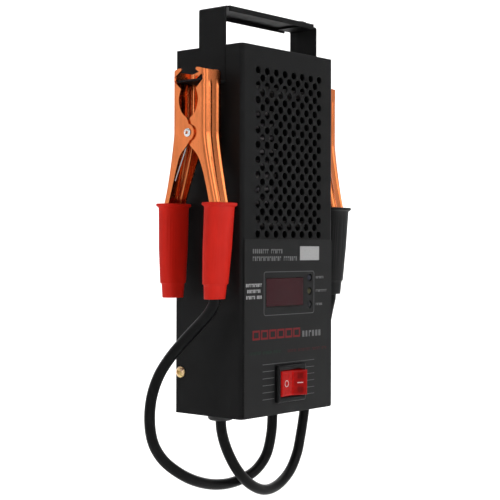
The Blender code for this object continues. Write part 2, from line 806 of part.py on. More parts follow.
# The black clip's cord: from its front grip down the case's right side, under it in front of the
# red one, and up through the left-hand bushing.
BLACK_CORD_ROUTE = [
    (0.0640, -0.0159, -0.1905),
    (0.0640, -0.0153, -0.1990),
    (0.0646, -0.0130, -0.2060),
    (0.0660, -0.0080, -0.2215),
    (0.0672, 0.0000, -0.2400),
    (0.0665, 0.0060, -0.2590),
    (0.0645, 0.0082, -0.2750),
    (0.0622, 0.0084, -0.2880),
    (0.0578, 0.0080, -0.3032),
    (0.0535, 0.0075, -0.3140),
    (0.0440, 0.0068, -0.3262),
    (0.0285, 0.0058, -0.3343),
    (0.0105, 0.0040, -0.3350),
    (-0.0068, 0.0035, -0.3275),
    (-0.0187, 0.0050, -0.3155),
    (-0.0250, 0.0086, -0.3010),
    (-0.0278, 0.0105, -0.2880),
    (-0.0283, 0.0106, -0.2770),
    (-0.0283, 0.0106, -0.2640),
]


ROUTE_WIDTH, ROUTE_BOTTOM, ROUTE_TOP = 0.100, -0.2763, -0.1990  # the case the routes were laid on


def on_this_case(point):
    """A route's point moved out or in and up or down with the case's own width and height."""
    x, y, z = point
    down = min(1.0, max(0.0, (ROUTE_TOP - z) / (ROUTE_TOP - ROUTE_BOTTOM)))
    return (x * CASE_WIDTH / ROUTE_WIDTH, y, z + down * (BOTTOM - ROUTE_BOTTOM))


def make_cords():
    for name, laid in (("red_cord", RED_CORD_ROUTE), ("black_cord", BLACK_CORD_ROUTE)):
        route = [on_this_case(point) for point in laid]
        in_grip = 1  # the first span is straight, inside the grip
        line = evenly(through(route[in_grip:], 8), 2 * CORD_DIAMETER)
        tube(name, [*route[:in_grip], *line], CORD_DIAMETER / 2, BLACK_VINYL, 2)


def make_bushings():
    """Snap bushings under the case: a rounded collar, a neck through the pan and a lip inside."""
    bore, neck = CORD_BORE / 2, BUSHING_NECK / 2
    outer = BUSHING_DIAMETER / 2
    lip = neck + 0.0012
    under = -GAP
    over = SHEET + GAP
    profile = [
        (neck - 0.0004, over + 0.003),
        (lip, over + 0.0005),
        (lip, over),
        (neck, over),
        (neck, under),
        (outer, under),
        (outer, -BUSHING_DROP + 0.0012),
        (outer - 0.0012, -BUSHING_DROP),
        (bore, -BUSHING_DROP),
        (bore, over + 0.003),
    ]
    for name, sign in (("red_cord_bushing", 1), ("black_cord_bushing", -1)):
        place = Matrix.Translation((sign * CORD_EXIT_X, MID_Y + CORD_EXIT_Y, BOTTOM))
        turned(name, profile, place, RUBBER, 20)


# ---------------------------------------------------------------- clips
def smoothstep(t):
    t = min(1.0, max(0.0, t))
    return t * t * (3 - 2 * t)


class JawHalf:
    """One stamped half of a clip. side is +1 towards the rear and -1 towards the front."""

    def __init__(self, side, width, web, grip_centre, grip_end, depth):
        self.side = side
        self.width = width
        self.web = web  # the web's distance from the rivet, above it
        self.grip_centre = grip_centre  # of the sleeve's mouth, from the rivet
        self.grip_end = grip_end  # of the sleeve's end
        self.depth = depth  # of the channel in the sleeve

    def centre(self, v):
        """Middle of the handle at a height v under the sleeve's mouth."""
        t = (GRIP_TOP - v) / GRIP_LENGTH
        return self.grip_centre + (self.grip_end - self.grip_centre) * t

    def back(self, v):
        """Distance of the web from the rivet's plane at a height v from the rivet."""
        if v >= 0:
            return self.web
        mouth = self.centre(GRIP_TOP) + self.depth / 2
        if v >= GRIP_TOP:
            return self.web + (mouth - self.web) * (v / GRIP_TOP) ** 1.3
        shrink = 0.0012 * (GRIP_TOP - v) / GRIP_LENGTH
        return self.centre(v) + self.depth / 2 - shrink

    def half_width(self, v):
        """Half the channel's width: it narrows towards the sleeve and inside it."""
        narrow = 1 - 0.17 * smoothstep(v / GRIP_TOP)
        if v < GRIP_TOP:
            narrow -= 0.10 * (GRIP_TOP - v) / GRIP_LENGTH
        return self.width / 2 * narrow


REAR_HALF = JawHalf(1, CLIP_WIDTH, CLIP_WEB, 0.0219, 0.0226, 0.0060)
NESTED_WIDTH = CLIP_WIDTH - 2 * (CLIP_SHEET + GAP)
FRONT_HALF = JawHalf(-1, NESTED_WIDTH, CLIP_WEB, 0.0198, 0.0155, 0.0060)
CHANNEL_END = GRIP_TOP - 0.045
TAB_NOTCH = STRAP_WIDTH / 2 + GAP


def jaw_outline(half, ear):
    """The side walls' outline, seen from the side, as (distance from the rivet, height)."""
    tab = TAB_TOP - RIVET_Z
    nose = [(half.web + 0.002, JAW_TOP - 0.0015), (half.web - 0.0015, JAW_TOP + 0.0008)]
    fang = [(0.0062, JAW_TOP + 0.0008), (0.0058, JAW_TOP - 0.0006)]
    notch = [(TAB_NOTCH, tab + GAP + 0.0002), (TAB_NOTCH, tab - STRAP - GAP - 0.0002)]
    neck = (0.0062, 0.0292)
    oval_low = (0.0006, 0.0096)
    oval = through([(*neck, 0), (0.0080, 0.0215, 0), (0.0052, 0.0134, 0), (*oval_low, 0)], 3)
    round_ear = arc((0, 0), ear, 100, 250, 8)
    round_ear = [(-abs(y) if y > 0 else y, z) for y, z in round_ear]
    crotch = (0.0010, -0.0088)
    mouth = (half.centre(GRIP_TOP) - half.depth / 2, GRIP_TOP)
    handle = through([(*crotch, 0), (0.0072, -0.0150, 0), (0.0112, -0.0240, 0), (*mouth, 0)], 3)
    end = (half.centre(CHANNEL_END) - half.depth / 2 + 0.0012, CHANNEL_END)
    below = [end, (half.back(CHANNEL_END) + 0.002, CHANNEL_END)]
    outline = nose + fang + notch
    outline += [(p.x, p.y) for p in oval]
    outline += round_ear
    outline += [(p.x, p.y) for p in handle]
    outline += below
    return outline + [(half.back(GRIP_TOP) + 0.003, GRIP_TOP), (half.web + 0.002, 0.0)]


def jaw_columns(half, v):
    """The channel's section at a height: (distance across, distance in from the web)."""
    h = half.half_width(v)
    reach = half.back(v) + 0.0075
    bend = [(h - CLIP_BEND + x, CLIP_BEND - d) for x, d in arc((0, 0), CLIP_BEND, 0, 90, 3)]
    side = [(h, reach), *bend]
    return side + [(-x, d) for x, d in reversed(side)]


def make_jaw(name, half, middle_x, ear):
    """A channel folded round the web, trimmed to the side walls' outline."""
    heights = [JAW_TOP + 0.002, 0.0, -0.010, -0.020, -0.030, -0.038, GRIP_TOP, CHANNEL_END - 0.001]
    count = len(jaw_columns(half, 0.0))

    def place(s, w):
        v = heights[s]
        across, inward = jaw_columns(half, v)[w]
        return middle_x + half.side * across, half.side * (half.back(v) - inward), RIVET_Z + v

    jaw = folded_sheet(
        name,
        list(range(len(heights))),
        list(range(count)),
        lambda s, w: True,
        place,
        CLIP_SHEET,
        COPPER,
    )
    outline = [(half.side * y, v) for y, v in jaw_outline(half, ear)]
    trim_place = Matrix.Translation((middle_x, 0, RIVET_Z)) @ TURN_TO_X
    trim = plate(f"{name}_trim", outline, CLIP_WIDTH + 0.004, trim_place)
    boolean(jaw, trim, "INTERSECT")
    start, end = (middle_x - 0.02, 0, RIVET_Z), (middle_x + 0.02, 0, RIVET_Z)
    boolean(jaw, cylinder(f"{name}_pivot", RIVET_DIAMETER / 2 + GAP, start, end, None, 12))
    return jaw


def sleeve_ring(bm, centre, half_x, half_y, z, sides, power=3.0):
    """A ring of the sleeve's rounded-box section."""
    ring = []
    for i in range(sides):
        a = 2 * math.pi * i / sides
        c, s = math.cos(a), math.sin(a)
        x = math.copysign(abs(c) ** (2 / power), c) * half_x
        y = math.copysign(abs(s) ** (2 / power), s) * half_y
        ring.append(bm.verts.new((centre[0] + x, centre[1] + y, z)))
    return ring


SLEEVE_WALL = 0.0011
CORD_IN_GRIP = 0.0055  # how far a cord reaches into its grip


def make_sleeve(name, half, middle_x, look):
    """A dipped vinyl sleeve: open for the channel at the top and for the cord at the bottom."""
    sides = 20
    top = GRIP_TOP - 0.0004
    bottom = top - GRIP_LENGTH
    rows = [  # height, half width, half depth
        (top, 0.0138, 0.0074),
        (top - 0.0022, 0.0138, 0.0074),
        (top - 0.0026, 0.0122, 0.0058),
        (top - 0.030, 0.0116, 0.0057),
        (top - 0.0535, 0.0100, 0.0055),
        (top - 0.0540, 0.0086, 0.0052),
        (bottom, 0.0076, 0.0051),
    ]
    bore = CORD_DIAMETER / 2 + GAP
    cavity = [
        (bottom, bore, bore),
        (bottom + CORD_IN_GRIP + 0.003, bore, bore),
        (bottom + CORD_IN_GRIP + 0.005, 0.0080, 0.0041),
        (top - 0.030, 0.0100, 0.0044),
        (top, 0.0106, 0.0046),
    ]
    bm = bmesh.new()
    rings = []
    for rows_used, power in ((rows, 3.0), (cavity, 3.0)):
        for height, half_x, half_y in rows_used:
            centre = (middle_x, half.side * half.centre(height))
            round_power = 2.0 if half_x == half_y else power
            rings.append(
                sleeve_ring(bm, centre, half_x, half_y, RIVET_Z + height, sides, round_power)
            )
    for upper, lower in zip(rings, rings[1:] + rings[:1]):
        for i in range(sides):
            j = (i + 1) % sides
            bm.faces.new((upper[i], lower[i], lower[j], upper[j]))
    obj = add(name, mesh_from(bm, name), look)
    smooth(obj)
    return obj


def make_clip_rivet(name, middle_x, sign):
    half = CLIP_WIDTH / 2 + GAP
    profile = rivet_profile(0.00285, 0.0009, RIVET_DIAMETER / 2, 2 * half)
    turned(name, profile, along_x(middle_x + sign * half, 0, RIVET_Z, sign), ZINC, 16)


def make_spring(name, middle_x):
    """A torsion spring round the rivet, with a leg down each half."""
    wire, radius, turns, steps = 0.0015, 0.0038, 3.5, 10
    pitch = wire + 0.0003
    start_x = -turns * pitch / 2
    points = [(middle_x + start_x, 0.0180, RIVET_Z - 0.031)]
    for i in range(int(turns * steps) + 1):
        a = 2 * math.pi * i / steps
        y, z = radius * math.cos(a), radius * math.sin(a)
        points.append((middle_x + start_x + turns * pitch * i / (turns * steps), y, RIVET_Z + z))
    points.append((middle_x - start_x, -0.0166, RIVET_Z - 0.031))
    tube(name, points, wire / 2, STEEL, 1)


def make_clips():
    for colour, sign, look in (("red", -1, RED_VINYL), ("black", 1, BLACK_VINYL)):
        middle_x = sign * CLIP_X
        make_jaw(f"{colour}_clip_rear_jaw", REAR_HALF, middle_x, 0.0056)
        make_jaw(f"{colour}_clip_front_jaw", FRONT_HALF, middle_x, 0.0052)
        sleeve_x = sign * (CLIP_X + 0.00025)
        make_sleeve(f"{colour}_clip_rear_grip", REAR_HALF, sleeve_x, look)
        make_sleeve(f"{colour}_clip_front_grip", FRONT_HALF, sleeve_x, look)
        make_clip_rivet(f"{colour}_clip_rivet", middle_x, sign)
        make_spring(f"{colour}_clip_spring", middle_x)


make_front_cover()
make_back_pan()
make_case_screws()
make_handle()
make_handle_rivets()
make_label()
make_display()
make_switch()
make_coil()
make_cords()
make_bushings()
make_clips()
bpy.context.view_layer.update()
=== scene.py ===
"""Battery load tester: a black perforated case with a carrying handle, a display and a rocker
switch, and two copper spring clips parked on the handle's side tabs."""

import json
import math

import bmesh
import bpy
from mathutils import Matrix, Vector, noise
from mathutils.geometry import delaunay_2d_cdt


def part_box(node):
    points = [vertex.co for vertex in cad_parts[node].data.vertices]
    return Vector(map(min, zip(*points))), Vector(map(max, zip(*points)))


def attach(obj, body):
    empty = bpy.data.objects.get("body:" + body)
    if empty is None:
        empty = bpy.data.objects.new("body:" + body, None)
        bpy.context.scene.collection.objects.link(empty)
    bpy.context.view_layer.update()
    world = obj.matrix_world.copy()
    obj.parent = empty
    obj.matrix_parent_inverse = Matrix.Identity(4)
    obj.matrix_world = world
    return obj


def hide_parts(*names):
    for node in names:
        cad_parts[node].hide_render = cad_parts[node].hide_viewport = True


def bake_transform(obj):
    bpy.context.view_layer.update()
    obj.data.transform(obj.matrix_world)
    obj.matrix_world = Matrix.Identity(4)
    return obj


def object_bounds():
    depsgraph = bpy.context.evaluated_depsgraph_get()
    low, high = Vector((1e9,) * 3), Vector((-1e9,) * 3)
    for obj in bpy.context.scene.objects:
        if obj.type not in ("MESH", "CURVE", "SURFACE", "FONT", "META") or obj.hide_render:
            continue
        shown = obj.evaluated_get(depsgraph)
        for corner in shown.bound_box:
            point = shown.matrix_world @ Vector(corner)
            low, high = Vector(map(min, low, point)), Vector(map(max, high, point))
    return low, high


bl_info = {
    "name": "Battery Load Tester",
    "version": (1, 0, 0),
    "blender": (4, 5, 0),
    "location": "3D View > Sidebar > Tester",
    "description": "Builds a hand-held battery load tester piece by piece",
    "category": "Add Mesh",
}

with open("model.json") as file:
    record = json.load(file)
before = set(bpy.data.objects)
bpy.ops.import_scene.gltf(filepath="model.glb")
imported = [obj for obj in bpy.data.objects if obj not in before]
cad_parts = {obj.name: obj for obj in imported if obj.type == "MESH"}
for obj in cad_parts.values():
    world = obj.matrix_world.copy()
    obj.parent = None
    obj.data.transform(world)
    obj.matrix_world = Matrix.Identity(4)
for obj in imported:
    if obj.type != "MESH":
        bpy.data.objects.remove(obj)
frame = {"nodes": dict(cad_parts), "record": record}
CAD_BOX = [[float(n) for n in corner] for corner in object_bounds()]
RECORD = frame["record"]
BODY_OF = {n: body for body, nodes in RECORD["behaviour"]["bodies"].items() for n in nodes}

# ---------------------------------------------------------------- places from the CAD, metres
(LEFT, FRONT, BOTTOM), (RIGHT, BACK, TOP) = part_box("front_cover")
SHEET = 0.0012
GAP = 0.0003  # between pieces that touch
CASE_BEND = 0.003
LABEL_LOW, LABEL_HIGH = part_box("front_label")
WINDOW_LOW, WINDOW_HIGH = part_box("display_window")
HOUSING_LOW, HOUSING_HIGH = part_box("switch_housing")
LAMPS = ("high_lamp", "charged_lamp", "low_lamp")
DISPLAY_Z = (WINDOW_LOW.z + WINDOW_HIGH.z) / 2
SWITCH_Z = (HOUSING_LOW.z + HOUSING_HIGH.z) / 2
VENT_PITCH_X, VENT_PITCH_Z, VENT_ROWS, VENT_COLUMNS = 0.0096, 0.005, 23, 8
VENT_TOP = TOP - 0.0166
TAB_TOP = TOP - 0.0236
LAMP_RADIUS = 0.0023
OPENING_X, OPENING_Z = 0.0136, 0.0108  # half sizes of the switch's opening
PRINT_OUT, PRINT_IN = 0.00004, 0.00002  # how far the print stands off the label and sinks in
CLIP_X, GRIP_X = 0.06375, 0.064  # middles of the jaws and of their sleeves, on either side


def middle(node):
    low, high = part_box(node)
    return (low + high) / 2


RIVET_Z = middle("red_clip_rivet").z


# ---------------------------------------------------------------- what a user may change
def colour(name, description, default):
    return bpy.props.FloatVectorProperty(
        name=name, description=description, default=default, size=3, min=0, max=1, subtype="COLOR"
    )


def share(name, description, default):
    return bpy.props.FloatProperty(
        name=name, description=description, default=default, min=0, max=1, subtype="FACTOR"
    )


def size(name, description, default):
    return bpy.props.FloatProperty(
        name=name, description=description, default=default, min=0, unit="LENGTH", precision=5
    )


class TesterFinish(bpy.types.PropertyGroup):
    """Colours and finishes of the tester."""

    paint: colour("Case paint", "Powder coat on the case", (0.0062, 0.0063, 0.0065))
    paint_gloss: share("Paint roughness", "How matt the powder coat is", 0.5)
    handle: colour("Handle paint", "Powder coat on the carrying handle", (0.0058, 0.0059, 0.0062))
    label: colour("Label film", "Printed film on the front", (0.0086, 0.0087, 0.0089))
    copper: colour("Clip plating", "Copper plate on the spring clips", (0.72, 0.205, 0.068))
    red_grip: colour("Red grips", "Vinyl sleeves of the red clip", (0.62, 0.016, 0.008))
    black_grip: colour("Black grips", "Vinyl sleeves of the black clip", (0.0026, 0.0026, 0.0029))
    rocker: colour("Rocker", "Tinted plastic of the switch's rocker", (0.33, 0.005, 0.004))
    cord: colour("Cord jacket", "Outside of the test leads", (0.0022, 0.0022, 0.0024))
    print_white: colour("Light print", "Light markings on the label", (0.46, 0.46, 0.46))
    print_red: colour("Red print", "Red markings on the label", (0.20, 0.014, 0.018))


class TesterSizes(bpy.types.PropertyGroup):
    """Small sizes that only the looks have."""

    vent: size("Vent hole", "Diameter of the round vent holes", 0.005)
    vent_rim: size("Vent rim", "Rounding round each vent hole", 0.0003)
    edge: size("Sheet edge", "Rounding along cut sheet edges", 0.00022)
    rib: size("Clip ribs", "Height of the ribs pressed in the clips", 0.0006)
    flute: size("Grip flutes", "Depth of the flutes along the grips", 0.00014)


def finish():
    return bpy.context.scene.tester_finish


def sizes():
    return bpy.context.scene.tester_sizes


# ---------------------------------------------------------------- shading
class Signal:
    """A node's output, so that sums of shader values read as Python."""

    def __init__(self, look, socket):
        self.look, self.socket = look, socket

    def _math(self, operation, first, second):
        return self.look.node("ShaderNodeMath", {"operation": operation}, {0: first, 1: second})

    def __add__(self, other):
        return self._math("ADD", self, other)

    def __radd__(self, other):
        return self._math("ADD", other, self)

    def __sub__(self, other):
        return self._math("SUBTRACT", self, other)

    def __rsub__(self, other):
        return self._math("SUBTRACT", other, self)

    def __mul__(self, other):
        return self._math("MULTIPLY", self, other)

    def __rmul__(self, other):
        return self._math("MULTIPLY", other, self)


class Look:
    """A Principled material that is built node by node."""

    def __init__(self, name, base, roughness, metallic=0.0, **fixed):
        self.material = bpy.data.materials.new(name)
        self.material.use_nodes = True
        self.tree = self.material.node_tree
        self.shader = self.tree.nodes["Principled BSDF"]
        self.put(self.shader, {"Base Color": base, "Roughness": roughness, "Metallic": metallic})
        self.put(self.shader, {key.replace("_", " "): value for key, value in fixed.items()})

    def put(self, node, values):
        for key, value in values.items():
            socket = node.inputs[key]
            if isinstance(value, Signal):
                self.tree.links.new(value.socket, socket)
            elif socket.type == "RGBA":
                socket.default_value = (*tuple(value)[:3], 1)
            else:
                socket.default_value = value

    def node(self, kind, settings=None, values=None, output=0):
        made = self.tree.nodes.new(kind)
        for key, value in (settings or {}).items():
            setattr(made, key, value)
        self.put(made, values or {})
        return Signal(self, made.outputs[output])

    def place(self, scale=(1, 1, 1)):
        """Object coordinates in metres, stretched along the axes."""
        here = self.node("ShaderNodeTexCoord", output="Object")
        return self.node("ShaderNodeMapping", {}, {"Vector": here, "Scale": scale})

    def grain(self, scale, detail=3.0, stretch=(1, 1, 1)):
        """Noise from 0 to 1 whose features are about 1/scale metres."""
        values = {"Vector": self.place(stretch), "Scale": scale, "Detail": detail, "Roughness": 0.55}
        return self.node("ShaderNodeTexNoise", {}, values)

    def ranged(self, signal, low, high):
        """0 at low, 1 at high and straight between them."""
        return self.node("ShaderNodeMapRange", {}, {0: signal, 1: low, 2: high, 3: 0.0, 4: 1.0})

    def mixed(self, share_of_second, first, second):
        return self.node(
            "ShaderNodeMix",
            {"data_type": "RGBA"},
            {0: share_of_second, 6: first, 7: second},
            output=2,
        )

    def bump(self, height, strength, distance):
        bumped = self.node(
            "ShaderNodeBump", {}, {"Height": height, "Strength": strength, "Distance": distance}
        )
        self.put(self.shader, {"Normal": bumped})

    def wear(self, base, lighter, roughness, spread, scale):
        """Colour and roughness that drift over the surface."""
        drift = self.ranged(self.grain(scale, 4.0), 0.3, 0.7)
        self.put(self.shader, {"Base Color": self.mixed(drift, base, lighter)})
        self.put(self.shader, {"Roughness": drift * spread + (roughness - spread / 2)})
        return drift


def tint(base, factor):
    return tuple(min(1.0, channel * factor) for channel in base)


def powder_coat(name, base, roughness):
    look = Look(name, base, roughness, Specular_IOR_Level=0.11)
    look.wear(base, tint(base, 1.35), roughness, 0.10, 90)
    peel = look.grain(1500, 2.0)
    speck = look.grain(5200, 2.0)
    look.bump(peel + speck * 0.45, 0.32, 0.00012)
    return look.material


def label_film():
    base = tuple(finish().label)
    look = Look("printed_label_film", base, 0.46, Specular_IOR_Level=0.16)
    look.wear(base, tint(base, 1.2), 0.46, 0.07, 60)
    look.bump(look.grain(9000, 2.0), 0.10, 0.00004)
    return look.material


def ink(name, base):
    look = Look(name, base, 0.5, Specular_IOR_Level=0.15)
    worn = look.ranged(look.grain(2600, 3.0), 0.35, 0.6)
    look.put(look.shader, {"Base Color": look.mixed(worn, tint(base, 0.72), base)})
    look.bump(look.grain(7000, 2.0), 0.15, 0.00003)
    return look.material


def copper_plate():
    base = tuple(finish().copper)
    look = Look("bright_copper_plate", base, 0.24, 1.0)
    cloud = look.ranged(look.grain(110, 5.0, (1, 1, 0.5)), 0.32, 0.7)
    streak = look.ranged(look.grain(900, 3.0, (1, 1, 0.05)), 0.3, 0.7)
    speck = look.ranged(look.grain(1300, 4.0), 0.66, 0.74)
    bright = look.mixed(cloud, tint(base, 0.80), tint(base, 1.05))
    brushed = look.mixed(streak * 0.22, bright, tint(base, 1.22))
    stained = look.mixed(speck * 0.55, brushed, (0.26, 0.085, 0.035))
    look.put(look.shader, {"Base Color": stained})
    look.put(look.shader, {"Roughness": cloud * 0.08 + streak * 0.04 + speck * 0.2 + 0.18})
    look.bump(streak * 0.25 + look.grain(300, 3.0) * 1.2, 0.12, 0.00012)
    return look.material


def plated(name, base, roughness, stain=None, scale=500):
    look = Look(name, base, roughness, 1.0)
    drift = look.wear(base, tint(base, 1.18), roughness, 0.12, scale)
    if stain:
        patch = look.ranged(look.grain(scale * 0.8, 3.0), 0.42, 0.66)
        warm = look.mixed(drift, base, tint(base, 1.15))
        look.put(look.shader, {"Base Color": look.mixed(patch * 0.7, warm, stain)})
    look.bump(look.grain(scale * 6, 3.0), 0.12, 0.00005)
    return look.material


def vinyl(name, base, lighter, roughness):
    """Dipped vinyl: soft gloss, slightly cloudy, with fine lines from the mould."""
    look = Look(name, base, roughness, Specular_IOR_Level=0.13)
    cloud = look.ranged(look.grain(70, 3.0, (1, 1, 0.4)), 0.3, 0.7)
    line = look.ranged(look.grain(1500, 2.0, (1, 1, 0.03)), 0.3, 0.7)
    look.put(look.shader, {"Base Color": look.mixed(cloud, base, lighter)})
    look.put(look.shader, {"Roughness": cloud * 0.08 + line * 0.06 + (roughness - 0.07)})
    look.bump(line * 0.6 + look.grain(2600, 2.0) * 0.5, 0.18, 0.00008)
    return look.material


def cord_jacket():
    base = tuple(finish().cord)
    look = Look("satin_cord_jacket", base, 0.36, Specular_IOR_Level=0.13)
    look.wear(base, tint(base, 1.5), 0.36, 0.12, 240)
    look.bump(look.grain(4200, 3.0), 0.2, 0.00006)
    return look.material


def plastic(name, base, roughness, grain=5000, depth=0.00004, **fixed):
    look = Look(name, base, roughness, **fixed)
    look.wear(base, tint(base, 1.25), roughness, 0.08, 300)
    look.bump(look.grain(grain, 2.0), 0.15, depth)
    return look.material


def lens_plastic(name, base):
    return plastic(name, base, 0.3, Specular_IOR_Level=0.25)


def rocker_plastic():
    """Tinted clear plastic: deeper where the neon lamp's frame stands behind it. One wing is darkened
    with painted shade, and a faint painted glow lights the rocker.
    """
    base = tuple(finish().rocker)
    look = Look("tinted_rocker_plastic", base, 0.2, Specular_IOR_Level=0.1)
    here = look.node("ShaderNodeTexCoord", output="Object")
    across = look.node("ShaderNodeSeparateXYZ", {}, {0: here}, output=0)
    up = look.node("ShaderNodeSeparateXYZ", {}, {0: here}, output=2)
    right = look.ranged(across, 0.0026, 0.0042) * look.ranged(across, 0.0086, 0.0070)
    away = look.node("ShaderNodeMath", {"operation": "ABSOLUTE"}, {0: up - SWITCH_Z})
    bar = look.ranged(away, 0.0018, 0.0036) * look.ranged(away, 0.0080, 0.0060)
    cloud = look.ranged(look.grain(420, 3.0), 0.35, 0.65)
    deep = look.mixed(cloud, base, tint(base, 1.35))
    # painted shade: the wing on the right is darkened as if less light falls on it
    wing = look.ranged(across, 0.0006, 0.0016) * look.ranged(across, 0.0108, 0.0098)
    shaded = look.mixed(wing * 0.45, deep, tint(base, 0.35))
    framed = look.mixed(right * bar * 0.7, shaded, (0.035, 0.001, 0.001))
    look.put(look.shader, {"Base Color": framed})
    # painted glow: a faint red emission makes the rocker look lit from within
    painted_glow = look.mixed(cloud, (0.11, 0.0005, 0.0005), (0.17, 0.0015, 0.0008))
    look.put(look.shader, {"Emission Color": painted_glow, "Emission Strength": 0.4})
    look.put(look.shader, {"Roughness": cloud * 0.08 + 0.13})
    look.bump(look.grain(1500, 2.0), 0.06, 0.00004)
    return look.material


def smoked_window():
    look = Look("smoked_red_filter", (0.040, 0.004, 0.006), 0.3, Specular_IOR_Level=0.2)
    cloud = look.ranged(look.grain(160, 4.0), 0.3, 0.7)
    tone = look.mixed(cloud, (0.036, 0.0045, 0.008), (0.050, 0.006, 0.010))
    look.put(look.shader, {"Base Color": tone})
    look.put(look.shader, {"Roughness": cloud * 0.08 + 0.26, "Alpha": 0.86})
    look.bump(look.grain(5000, 2.0), 0.04, 0.00003)
    return look.material


def board_look(name, base, trace):
    look = Look(name, base, 0.45)
    tracks = look.node(
        "ShaderNodeTexBrick",
        {"offset": 0.5},
        {"Vector": look.place(), "Color1": base, "Color2": tint(base, 0.85), "Mortar": trace,
         "Scale": 160.0, "Mortar Size": 0.04},
    )
    dirt = look.ranged(look.grain(400, 4.0), 0.3, 0.7)
    look.put(look.shader, {"Base Color": look.mixed(dirt * 0.4, tracks, tint(base, 0.6))})
    look.bump(look.grain(1800, 3.0), 0.3, 0.00008)
    return look.material


MAKERS = {
    "case paint": lambda: powder_coat(
        "case_powder_coat", tuple(finish().paint), finish().paint_gloss
    ),
    "handle paint": lambda: powder_coat("handle_powder_coat", tuple(finish().handle), 0.55),
    "label": label_film,
    "light print": lambda: ink("light_print", tuple(finish().print_white)),
    "heading print": lambda: ink("heading_print", (0.17, 0.17, 0.172)),
    "mark print": lambda: ink("mark_print", (0.80, 0.62, 0.62)),
    "dim print": lambda: ink("dim_print", (0.115, 0.116, 0.12)),
    "red print": lambda: ink("red_print", tuple(finish().print_red)),
    "dim red print": lambda: ink("dim_red_print", (0.050, 0.012, 0.014)),
    "dim green print": lambda: ink("dim_green_print", (0.013, 0.030, 0.020)),
    "copper": copper_plate,
    "zinc": lambda: plated("bright_zinc", (0.78, 0.79, 0.81), 0.26, None, 700),
    "yellow zinc": lambda: plated("yellow_zinc", (0.80, 0.60, 0.26), 0.28, (0.72, 0.42, 0.40), 420),
    "spring wire": lambda: plated("spring_wire", (0.74, 0.75, 0.77), 0.22, None, 900),
    "tinned brass": lambda: plated("tinned_brass", (0.72, 0.66, 0.5), 0.35, (0.6, 0.5, 0.3), 600),
    "heat wire": lambda: plated("oxidised_wire", (0.16, 0.15, 0.145), 0.5, (0.10, 0.09, 0.12), 260),
    "red vinyl": lambda: vinyl(
        "red_dipped_vinyl", tint(finish().red_grip, 0.92), tint(finish().red_grip, 1.12), 0.46
    ),
    "black vinyl": lambda: vinyl(
        "black_dipped_vinyl", tuple(finish().black_grip), tint(finish().black_grip, 1.4), 0.40
    ),
    "cord": cord_jacket,
    "rubber": lambda: plastic("bushing_rubber", (0.014, 0.014, 0.0145), 0.55, 3500, 0.00008),
    "switch": lambda: plastic(
        "switch_moulding", (0.0045, 0.0045, 0.005), 0.33, 6000, 0.00003, Specular_IOR_Level=0.15
    ),
    "rocker": rocker_plastic,
    "window": smoked_window,
    "segments": lambda: plastic("unlit_segments", (0.16, 0.05, 0.05), 0.5),
    "digit block": lambda: plastic("digit_block", (0.010, 0.009, 0.009), 0.5),
    "blue lens": lambda: lens_plastic("bluish_lens", (0.013, 0.014, 0.026)),
    "amber lens": lambda: lens_plastic("yellowish_lens", (0.036, 0.032, 0.010)),
    "dark lens": lambda: lens_plastic("dark_lens", (0.010, 0.010, 0.013)),
    "board": lambda: board_look("green_board", (0.02, 0.12, 0.05), (0.05, 0.22, 0.08)),
    # painted shade: the ceramic boards are coloured nearly black, standing for the shadowed inside seen
    # through the vents
    "ceramic": lambda: board_look("ceramic_board_in_painted_shade", (0.030, 0.026, 0.022), (0.020, 0.018, 0.016)),
}
MADE = {}


def material_of(finish_name):
    if finish_name not in MADE:
        MADE[finish_name] = MAKERS[finish_name]()
    return MADE[finish_name]


# ---------------------------------------------------------------- modelling
def settle(obj, finish_name, node, stands_for=(), body=None):
    """Puts the finish on a piece, lets it ride with the CAD node's body, and hides what it replaces."""
    obj.data.materials.clear()
    obj.data.materials.append(material_of(finish_name))
    if body != "blend":
        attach(obj, BODY_OF[node])
    if stands_for:
        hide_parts(*stands_for)
    return obj


def link(name, mesh):
    obj = bpy.data.objects.new(name, mesh)
    bpy.context.scene.collection.objects.link(obj)
    return obj


def from_bmesh(name, bm, closed=True, sharp=35):
    if closed:
        bmesh.ops.recalc_face_normals(bm, faces=bm.faces)
    mesh = bpy.data.meshes.new(name)
    bm.to_mesh(mesh)
    bm.free()
    mesh.shade_smooth()
    mesh.set_sharp_from_angle(angle=math.radians(sharp))
    return link(name, mesh)


def soften(obj, width, angle=38):
    """Rounds the sharp edges with a bevel."""
    bevel = obj.modifiers.new("rounded_edges", "BEVEL")
    bevel.width = width
    bevel.segments = 2
    bevel.limit_method = "ANGLE"
    bevel.angle_limit = math.radians(angle)
    bevel.harden_normals = True
    return obj


def thicken(obj, thickness):
    solid = obj.modifiers.new("sheet", "SOLIDIFY")
    solid.thickness = thickness
    solid.offset = -1
    solid.use_even_offset = True
    return obj


def through(points, per_span=6):
    """A smooth line through the points (centripetal Catmull-Rom)."""
    given = [Vector(p) for p in points]
    ends = [2 * given[0] - given[1], *given, 2 * given[-1] - given[-2]]
    line = []
    for a, b, c, d in zip(ends, ends[1:], ends[2:], ends[3:]):
        t1 = (b - a).length ** 0.5
        t2 = t1 + (c - b).length ** 0.5
        t3 = t2 + (d - c).length ** 0.5
        for step in range(per_span):
            t = t1 + (t2 - t1) * step / per_span
            ab, bc = a.lerp(b, t / t1), b.lerp(c, (t - t1) / (t2 - t1))
            cd = c.lerp(d, (t - t2) / (t3 - t2))
            abc, bcd = ab.lerp(bc, t / t2), bc.lerp(cd, (t - t1) / (t3 - t1))
            line.append(abc.lerp(bcd, (t - t1) / (t2 - t1)))
    return [*line, given[-1]]


def arc(centre, radius, start, end, steps):
    angles = [math.radians(start + (end - start) * i / steps) for i in range(steps + 1)]
    return [(centre[0] + radius * math.cos(a), centre[1] + radius * math.sin(a)) for a in angles]


